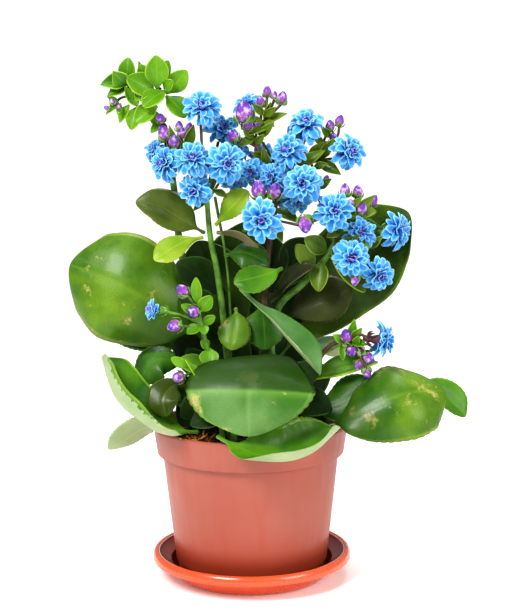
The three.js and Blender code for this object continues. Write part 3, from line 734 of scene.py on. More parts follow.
def turned(rings, steps):
    """A circle drawn up ring by ring, each (radius, height) in millimetres, closed at its ends."""
    deselect()
    radius, height = rings[0]
    bpy.ops.mesh.primitive_circle_add(vertices=steps, radius=radius * MM,
                                      location=(0, 0, height * MM))
    piece = bpy.context.object
    bpy.ops.object.transform_apply(location=True)
    open_mesh(piece)
    bpy.ops.mesh.select_all(action="SELECT")
    bpy.ops.mesh.edge_face_add()
    pick(piece, lambda co: True)
    bpy.ops.mesh.select_mode(type="EDGE")
    for new_radius, new_height in rings[1:]:
        bpy.ops.mesh.extrude_edges_move(
            TRANSFORM_OT_translate={"value": (0, 0, (new_height - height) * MM)})
        ratio = new_radius / radius
        bpy.ops.transform.resize(value=(ratio, ratio, 1), center_override=(0, 0, new_height * MM))
        radius, height = new_radius, new_height
    bpy.ops.mesh.edge_face_add()
    close_mesh()
    return piece


def blade_form(widths, lifts, cup, thick, columns=4, teeth=0.0, rounds=0):
    """A thin leaf or petal along +X from the origin: a grid whose rows are widened and lifted."""
    deselect()
    rows = len(widths) - 1
    bpy.ops.mesh.primitive_grid_add(x_subdivisions=rows, y_subdivisions=columns, size=1,
                                    location=(0.5, 0, 0))
    piece = bpy.context.object
    bpy.ops.object.transform_apply(location=True)
    piece.data.uv_layers[0].name = "blade"
    open_mesh(piece)
    for column in range(columns + 1):
        across = 2 * column / columns - 1
        pick(piece, lambda co: abs(co.y - across / 2) < 0.01)
        bpy.ops.transform.translate(value=(0, 0, cup * across ** 2 / 2))
    for row, (width, lift) in enumerate(zip(widths, lifts)):
        place = row / rows
        pick(piece, lambda co: abs(co.x - place) < 0.3 / rows)
        tooth = 1 + teeth * (1 if row % 2 else -1) * (0 < row < rows)
        bpy.ops.transform.resize(value=(1, width * tooth, width), center_override=(place, 0, 0))
        bpy.ops.transform.translate(value=(0, 0, lift))
    bpy.ops.object.mode_set(mode="OBJECT")
    apply_modifier(piece, "SOLIDIFY", thickness=thick, offset=0, material_offset=1,
                   material_offset_rim=0)
    if rounds:
        apply_modifier(piece, "SUBSURF", levels=rounds, render_levels=rounds)
    make_active(piece)
    bpy.ops.object.shade_smooth()
    return piece


def put_away(form):
    """Takes a shape that has been copied off the bench and keeps only its mesh."""
    mesh = form.data
    bpy.data.objects.remove(form)
    return mesh


def gathered(copies):
    """One piece from copies of shapes, each given as (mesh, place, material numbers)."""
    whole = bmesh.new()
    for mesh, place, kinds in copies:
        first = len(whole.faces)
        copy = mesh.copy()
        copy.transform(place)
        whole.from_mesh(copy)
        bpy.data.meshes.remove(copy)
        whole.faces.ensure_lookup_table()
        for face in whole.faces[first:]:
            face.material_index = kinds[min(face.material_index, len(kinds) - 1)]
    mesh = bpy.data.meshes.new("piece")
    whole.to_mesh(mesh)
    whole.free()
    piece = bpy.data.objects.new("piece", mesh)
    bpy.context.scene.collection.objects.link(piece)
    return piece


def turn_to(axis, spin):
    """The turn that takes +Z to an axis after a spin round +Z."""
    aim = Vector((0, 0, 1)).rotation_difference(Vector(axis))
    return (aim @ Quaternion((0, 0, 1), spin)).to_matrix().to_4x4()


def sized(length, width=None, height=None):
    return Matrix.Diagonal((length, width or length, height or length, 1))


# ---------------------------------------------------------------- pot, saucer and soil

POT_LOW, POT_HIGH = (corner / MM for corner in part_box("pot"))
RIM_RADIUS, RIM_TOP, POT_FLOOR = POT_HIGH.x, POT_HIGH.z, POT_LOW.z
RIM_BAND = 18
BAND_TAPER = 2.4
LEDGE = 3.2
WALL = 2.2
FOOT_RADIUS = 46
FOOT_RING = 8.2
FOOT_STEP = 1.1
DRAIN_HOLES = 6
DRAIN_RADIUS = 4
DRAIN_CIRCLE = 27
DRILL_LENGTH = 12
SAUCER_LIP_DROP = 6
SAUCER_WALL = 2
CRUMBS = 420
FLAKES = 80
ROUND_STEPS = 128
SURFACE_RINGS = 40

ledge_height = RIM_TOP - RIM_BAND
band_foot = RIM_RADIUS - BAND_TAPER
wall_top = band_foot - LEDGE
wall_slope = (wall_top - FOOT_RADIUS) / (ledge_height - POT_FLOOR)


def wall_radius(height):
    return FOOT_RADIUS + wall_slope * (height - POT_FLOOR)


def make_pot():
    """A thin tapered wall with a rim band, a set-in foot ring and drain holes."""
    foot = FOOT_RADIUS - FOOT_STEP
    ring_top = POT_FLOOR + FOOT_RING
    inside = RIM_RADIUS - WALL
    rings = [
        (foot - 2, POT_FLOOR), (foot - 0.5, POT_FLOOR + 0.15), (foot, POT_FLOOR + 0.8),
        (wall_radius(ring_top) - FOOT_STEP, ring_top - 0.4),
        (wall_radius(ring_top) - 0.25, ring_top),
        (wall_radius(ring_top + 0.6), ring_top + 0.6),
        (wall_radius(30), 30), (wall_radius(55), 55),
        (wall_radius(ledge_height - 3), ledge_height - 3),
        (wall_top - 0.15, ledge_height - 0.5), (wall_top + 0.25, ledge_height - 0.1),
        (band_foot - 0.7, ledge_height), (band_foot - 0.1, ledge_height + 0.35),
        (band_foot + 0.1, ledge_height + 1.1), (RIM_RADIUS - 0.7, RIM_TOP - 6),
        (RIM_RADIUS - 0.2, RIM_TOP - 2.2), (RIM_RADIUS, RIM_TOP - 1.1),
        (RIM_RADIUS - 0.25, RIM_TOP - 0.35), (RIM_RADIUS - 0.9, RIM_TOP),
        (inside + 0.5, RIM_TOP - 0.05), (inside, RIM_TOP - 0.6),
        (band_foot - WALL, ledge_height + WALL + 1), (wall_top - WALL, ledge_height - 1),
        (wall_radius(POT_FLOOR + WALL) - WALL - FOOT_STEP, POT_FLOOR + WALL),
    ]
    pot = turned(rings, ROUND_STEPS)
    drills = []
    for hole in range(DRAIN_HOLES):
        angle = 2 * math.pi * hole / DRAIN_HOLES
        deselect()
        bpy.ops.mesh.primitive_cylinder_add(
            vertices=24, radius=DRAIN_RADIUS * MM, depth=DRILL_LENGTH * MM,
            location=(DRAIN_CIRCLE * MM * math.cos(angle), DRAIN_CIRCLE * MM * math.sin(angle),
                      POT_FLOOR * MM))
        drills.append(bpy.context.object)
    drill = join(drills)
    apply_modifier(pot, "BOOLEAN", operation="DIFFERENCE", object=drill, solver="EXACT")
    bpy.data.objects.remove(drill)
    smooth(pot, 40)
    settle(pot, "pot_turned", SLOTS["pot"], (POT_PLASTIC,), "pot")


def make_saucer():
    """A flat foot, a bowl that flares to a rolled lip, and a faint ring in its floor; a dark
    inside that is painted shade, and a thin pale ring inside the lip that is a painted highlight.
    """
    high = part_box("saucer")[1] / MM
    lip, top = high.x, high.z
    under = top - SAUCER_LIP_DROP
    wall = SAUCER_WALL
    rings = [
        (45, 0), (45.8, 0.2), (46.8, 1), (48.5, 3), (50, 6), (51, under - 0.5),
        (51.8, under + 0.2), (lip - 3.4, under + 0.3), (lip - 1, under), (lip - 0.3, under + 0.3),
        (lip, under + 1.1), (lip - 0.1, top - 3), (lip - 0.5, top - 1.7), (lip - 1.2, top - 0.6),
        (lip - 2, top - 0.1), (lip - 2.8, top - 0.05), (lip - 3.5, top - 0.45),
        (lip - 4.1, top - 1.3), (lip - 5, top - 2.6), (52.6, top - 4.6), (50.2, under + 0.4),
        (48.6, 6.6), (47.4, 4), (46.6, wall + 0.8), (45.4, wall), (38, wall), (37.2, wall + 0.5),
        (36, wall + 0.5), (35.2, wall),
    ]
    saucer = turned(rings, ROUND_STEPS)
    # Faces inside the lip that face upwards take the dark inside colour: painted shade.
    lip_inside = (lip - 4.2) * MM
    for face in saucer.data.polygons:
        face.material_index = int(face.center.xy.length < lip_inside and face.normal.z > 0)
    smooth(saucer, 40)
    settle(saucer, "saucer_turned", SLOTS["saucer"], (SAUCER_PLASTIC, SAUCER_INSIDE_SHADE), "saucer")
    # A thin pale ring just inside the lip: a painted highlight.
    deselect()
    bpy.ops.mesh.primitive_torus_add(major_radius=(lip - 3.9) * MM, minor_radius=0.35 * MM,
                                     major_segments=ROUND_STEPS, minor_segments=8,
                                     location=(0, 0, (top - 0.9) * MM))
    bead = bpy.context.object
    bpy.ops.object.transform_apply(location=True)
    bpy.ops.object.shade_smooth()
    settle(bead, "saucer_highlight_bead", SLOTS["saucer"], (SAUCER_HIGHLIGHT,))


def make_soil():
    """Peat that fills the pot, with a lumpy surface and loose crumbs on it."""
    low, high = (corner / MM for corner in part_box("soil"))
    edge = high.x
    rings = [(wall_radius(low.z) - WALL - 3, low.z), (wall_top - WALL - 1.6, ledge_height - 2),
             (edge - 1, ledge_height + 4), (edge - 0.3, high.z - 2.6)]
    surface = [edge * (1 - step / SURFACE_RINGS) for step in range(1, SURFACE_RINGS - 1)]
    rings += [(radius, high.z - 0.8 - 0.8 * (radius / edge) ** 6) for radius in surface]
    soil = turned(rings, 120)
    upper = soil.vertex_groups.new(name="surface")
    upper.add([v.index for v in soil.data.vertices
               if v.co.z > (high.z - 2.5) * MM and v.co.xy.length < (edge - 2) * MM], 1, "ADD")
    for size, strength in ((0.011, 0.0045), (0.0035, 0.0022)):
        lumps = bpy.data.textures.new("lumps", "CLOUDS")
        lumps.noise_scale = size
        apply_modifier(soil, "DISPLACE", texture=lumps, texture_coords="OBJECT",
                       strength=strength, mid_level=0.62, vertex_group="surface")
    smooth(soil, 180)
    settle(soil, "soil_surface", SLOTS["soil"], (PEAT,), "soil")

    rng = random.Random(5)
    deselect()
    bpy.ops.mesh.primitive_ico_sphere_add(subdivisions=1, radius=1)
    crumb = bpy.context.object
    open_mesh(crumb)
    pick(crumb, lambda co: co.x > 0.3)
    bpy.ops.transform.resize(value=(0.7, 1.3, 0.8), center_override=(0.3, 0, 0))
    pick(crumb, lambda co: co.z < -0.3)
    bpy.ops.transform.resize(value=(1.2, 0.7, 0.7), center_override=(0, 0, -0.3))
    close_mesh()
    crumb = put_away(crumb)
    copies = []
    for _ in range(CRUMBS):
        angle, reach = rng.random() * 2 * math.pi, edge * 0.95 * math.sqrt(rng.random())
        size = rng.uniform(0.5, 1.7) * MM
        place = Vector((reach * math.cos(angle), reach * math.sin(angle),
                        high.z - rng.uniform(0.6, 1.6))) * MM
        turn = Quaternion([rng.gauss(0, 1) for _ in range(4)]).normalized().to_matrix().to_4x4()
        copies.append((crumb, Matrix.Translation(place) @ turn @ sized(size), (0,)))
    settle(gathered(copies), "soil_crumbs", SLOTS["soil"], (PEAT,))


def make_bark():
    """A tuft of golden bark fibres on the soil inside the front left of the rim."""
    rng = random.Random(3)
    low, high = (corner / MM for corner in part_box("bark_chips"))
    middle = (low + high) / 2
    deselect()
    bpy.ops.mesh.primitive_cube_add(size=1, location=(0.5, 0, 0))
    flake = bpy.context.object
    bpy.ops.object.transform_apply(location=True)
    open_mesh(flake)
    bpy.ops.mesh.select_all(action="SELECT")
    bpy.ops.transform.resize(value=(1, 0.16, 0.07), center_override=(0, 0, 0))
    bpy.ops.mesh.subdivide(number_cuts=2)
    pick(flake, lambda co: 0.2 < co.x < 0.8)
    bpy.ops.transform.translate(value=(0, 0.03, 0.12))
    pick(flake, lambda co: co.x > 0.9)
    bpy.ops.transform.resize(value=(1, 0.35, 0.5), center_override=(1, 0, 0))
    close_mesh()
    flake = put_away(flake)
    copies = []
    for number in range(FLAKES):
        heading = rng.random() * 2 * math.pi
        rise = math.radians(rng.uniform(-8, 62))
        start = middle + Vector((rng.gauss(1, 2.6), rng.gauss(1, 1.5), rng.uniform(-0.5, 2.4)))
        turn = (Matrix.Rotation(heading, 4, "Z") @ Matrix.Rotation(-rise, 4, "Y")
                @ Matrix.Rotation(rng.uniform(-1, 1), 4, "X"))
        length = rng.uniform(3, 9) * MM
        copies.append((flake, Matrix.Translation(start * MM) @ turn
                       @ sized(length, length * rng.uniform(0.7, 1.6)), (number % 3 == 0,)))
    settle(gathered(copies), "bark_tuft", SLOTS["bark_chips"], (BARK, BARK_DARK), "bark_chips")


make_pot()
make_saucer()
make_soil()
make_bark()


# ---------------------------------------------------------------- small leaves

ROUND_WIDTHS = (0.1, 0.2, 0.42, 0.66, 0.84, 0.95, 1.0, 0.97, 0.88, 0.72, 0.48, 0.1)
POINTED_WIDTHS = (0.16, 0.3, 0.52, 0.74, 0.9, 0.98, 0.96, 0.86, 0.7, 0.5, 0.27, 0.03)


def arch(count, height):
    return [height * 4 * (i / (count - 1)) * (1 - i / (count - 1)) for i in range(count)]


def stretched(widths, count):
    return np.interp(np.linspace(0, 1, count), np.linspace(0, 1, len(widths)), widths)


def small_blades():
    """The three leaf shapes that the stems carry, each modelled once."""
    smooth_edged = blade_form(ROUND_WIDTHS, arch(12, 0.1), 0.35, 0.09, columns=6, rounds=1)
    pointed = blade_form(POINTED_WIDTHS, arch(12, 0.14), 0.45, 0.1, columns=6, rounds=1)
    toothed = blade_form(stretched(ROUND_WIDTHS, 24), arch(24, 0.16), 0.2, 0.08, columns=6,
                         teeth=0.045, rounds=1)
    return {"round": put_away(smooth_edged), "pointed": put_away(pointed),
            "toothed": put_away(toothed)}


BLADES = small_blades()


def leaf_place(foot, tip, width, face):
    """Takes the unit blade to its foot, tip and width, with its upper side facing a way."""
    foot, run = Vector(foot) * MM, (Vector(tip) - Vector(foot)) * MM
    ahead = run.normalized()
    up = Vector(face)
    up = (up - ahead * up.dot(ahead)).normalized()
    left = up.cross(ahead)
    turn = Matrix((ahead, left, up)).transposed().to_4x4()
    return Matrix.Translation(foot) @ turn @ sized(run.length, width * MM, width * MM)


def small_leaves(rows):
    """One piece from rows of small leaves, listed by shape as (foot, tip, width, face)."""
    return gathered([(blade, leaf_place(*row), (0, 1)) for shape, blade in BLADES.items()
                     for row in rows.get(shape, ())])


# ---------------------------------------------------------------- flowers

PETAL_WIDTHS = (0.3, 0.46, 0.76, 0.98, 1.0, 0.86, 0.36)


def petal_forms():
    """Outer petals curl back, middle ones spread, inner ones stand and curl in."""
    def petal(width, lifts):
        return put_away(blade_form([width * w for w in PETAL_WIDTHS], lifts, 0.5, thick=0.035,
                                   teeth=0.11))
    return {
        "outer": petal(0.5, (0, 0.06, 0.11, 0.12, 0.08, -0.01, -0.15)),
        "spread": petal(0.48, (0, 0.02, 0.04, 0.07, 0.11, 0.11, 0.05)),
        "inner": petal(0.5, (0, -0.06, -0.08, -0.06, 0.0, 0.1, 0.22)),
    }


def sepal_form():
    widths = (0.7, 1.0, 0.95, 0.7, 0.36, 0.04)
    return put_away(blade_form([0.46 * w for w in widths], (0, 0.12, 0.17, 0.18, 0.15, 0.08), 0.3,
                               columns=2, thick=0.06))


def tube_form():
    """The flower's green tube, below its petals, for a head of radius 1."""
    rings = [(80, -820), (150, -740), (185, -560), (170, -380), (240, -120), (260, -20)]
    return put_away(turned(rings, 12))


# Each whorl of a head of radius 1: petal form, how many, length, height of the foot,
# and how many degrees its petals rise.
WHORLS = [
    ("outer", 9, 0.92, -0.08, -4), ("outer", 9, 0.9, 0.0, 16), ("spread", 8, 0.82, 0.06, 34),
    ("spread", 7, 0.66, 0.1, 52), ("inner", 5, 0.5, 0.12, 68), ("inner", 3, 0.36, 0.12, 82),
]
HEART = len(WHORLS) - 2
PETAL_REACH = 1.32
HALF_OPEN_REACH = 1.5
HALF_OPEN_BELOW = 6

PETALS = petal_forms()
SEPAL = sepal_form()
TUBE = tube_form()


def add_sepals(copies, head, spin, foot, lean, size, kind):
    for quarter in range(4):
        turn = (Matrix.Rotation(quarter * math.pi / 2 + spin, 4, "Z")
                @ Matrix.Translation(foot) @ Matrix.Rotation(lean, 4, "Y")
                @ Matrix.Rotation(math.pi, 4, "X"))
        copies.append((SEPAL, head @ turn @ size, (kind,)))


def flower_frame(node):
    """Centre, facing and radius of a flower head, from its turned CAD solid."""
    shape = merged_copy(node)
    one, two = poles_of(shape)

    def girth(pole):
        return sum((e.other_vert(pole).co - pole.co).length for e in pole.link_edges)

    foot, crown = (one, two) if girth(one) < girth(two) else (two, one)
    axis = crown.co - foot.co
    radius = axis.length / 1.08
    facing = axis.normalized()
    centre = foot.co + facing * 0.72 * radius
    shape.free()
    return centre, facing, radius


def flower_head(centre, facing, radius, seed):
    """Petals, tube and sepals of one head; a small head is half open, its petals upright."""
    rng = random.Random(seed)
    half_open = radius < HALF_OPEN_BELOW
    head = (Matrix.Translation(centre * MM) @ turn_to(facing, rng.uniform(0, 6))
            @ sized(radius * (HALF_OPEN_REACH if half_open else PETAL_REACH) * MM))
    copies = []
    for number, (form, count, length, foot, rise) in enumerate(WHORLS):
        kind = int(number > 1 if half_open else number >= HEART)
        rise = 0.5 * rise + 46 if half_open else rise
        for i in range(count):
            heading = 2 * math.pi * (i + 0.5 * (number % 2) + rng.uniform(-0.2, 0.2)) / count
            size = length * rng.uniform(0.84, 1.1)
            turn = (Matrix.Rotation(heading, 4, "Z")
                    @ Matrix.Translation((0.07, 0, foot))
                    @ Matrix.Rotation(-math.radians(rise + rng.uniform(-16, 16)), 4, "Y")
                    @ Matrix.Rotation(rng.uniform(-0.5, 0.5), 4, "X"))
            copies.append((PETALS[form], head @ turn
                           @ sized(size, size * rng.uniform(0.8, 1.15)), (kind,)))
    copies.append((TUBE, head, (2,)))
    add_sepals(copies, head, spin=0, foot=(0.12, 0, -0.6), lean=-0.75, size=sized(0.5), kind=2)
    return gathered(copies)


def grow_flower(node, seed):
    skin = CALYX_DARK if node == "flower_low_right" else CALYX
    petals = flower_head(*flower_frame(node), seed)
    settle(petals, node + "_petals", SLOTS[node], (PETAL, PETAL_HEART, skin), node)


for number, node in enumerate(sorted(n for n in NODES if n.startswith("flower_"))):
    grow_flower(node, 100 + number)

# Smaller heads half hidden between the others: centre, facing, radius.
HIDDEN_HEADS = [
    ((28, -19, 237), (0.1, -0.9, -0.4), 9.5), ((-55, 2, 263), (-0.7, -0.6, 0.4), 6.5),
    ((22, -6, 249), (-0.2, -0.9, 0.2), 8), ((9, 4, 258), (0.2, -0.9, 0.3), 7),
    ((-8, -4, 247), (0.3, -0.8, -0.5), 7),
]
for number, (centre, facing, radius) in enumerate(HIDDEN_HEADS):
    petals = flower_head(Vector(centre), Vector(facing).normalized(), radius, 300 + number)
    settle(petals, f"hidden_head_{number + 1}", "petals", (PETAL, PETAL_HEART, CALYX))


# ---------------------------------------------------------------- buds

def bud_form():
    """A closed bud of radius 1: a ball drawn to a blunt tip, creased where its petals fold."""
    deselect()
    bpy.ops.mesh.primitive_uv_sphere_add(segments=16, ring_count=10, radius=1)
    bud = bpy.context.object
    bud.data.uv_layers[0].name = "blade"
    open_mesh(bud)
    bpy.ops.mesh.select_all(action="SELECT")
    bpy.ops.transform.resize(value=(1, 1, 1.25))
    pick(bud, lambda co: co.z > 0.35)
    bpy.ops.transform.resize(value=(0.86, 0.86, 1), center_override=(0, 0, 0.35))
    pick(bud, lambda co: co.z > 0.9)
    bpy.ops.transform.resize(value=(0.82, 0.82, 1.08), center_override=(0, 0, 0.9))

    def on_fold(co):
        angle = math.atan2(co.y, co.x) - 0.5 * co.z
        return abs(math.sin(2 * angle)) < 0.3 and -0.6 < co.z < 1.2

    pick(bud, on_fold)
    bpy.ops.transform.resize(value=(0.87, 0.87, 1), center_override=(0, 0, 0))
    close_mesh()
    apply_modifier(bud, "SUBSURF", levels=1, render_levels=1)
    make_active(bud)
    bpy.ops.object.shade_smooth()
    return put_away(bud)


BUD_SHAPE = bud_form()


def add_bud(copies, place, radius, lean, rng):
    head = (Matrix.Translation(Vector(place) * MM) @ turn_to(lean, rng.uniform(0, 6))
            @ sized(radius * MM))
    copies.append((BUD_SHAPE, head @ sized(0.92), (1,)))
    add_sepals(copies, head, spin=0.4, foot=(0.4, 0, -1.12), lean=-1.05, size=sized(1.3, 2.2),
               kind=0)


# ---------------------------------------------------------------- stems and stalks

def stem_rod(route, radii):
    """A round stem through places in millimetres, thinner towards its end."""
    curve = bpy.data.curves.new("stem", "CURVE")
    curve.dimensions = "3D"
    curve.bevel_depth = MM
    curve.bevel_resolution = 3
    curve.use_fill_caps = True
    spline = curve.splines.new("BEZIER")
    spline.bezier_points.add(len(route) - 1)
    steps = np.linspace(0, len(radii) - 1, len(route))
    for bend, place, step in zip(spline.bezier_points, route, steps):
        bend.co = Vector(place) * MM
        bend.handle_left_type = bend.handle_right_type = "AUTO"
        bend.radius = float(np.interp(step, range(len(radii)), radii))
    rod = bpy.data.objects.new("stem", curve)
    bpy.context.scene.collection.objects.link(rod)
    return rod


STALK = 0.85
STEM_GRAIN = 0.00042
SPRAY_TOP = 400
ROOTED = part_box("soil")[1].z / MM - 4

SHOOT_TOP = (-60, 5, 292)
SHOOT_TIP = (-52, 3, 301)
SHOOT_FORK = (-72, 3, 302)

LEFTWARD = (-0.2, -0.9, 0.3)
RIGHTWARD = (0.2, -0.9, 0.3)

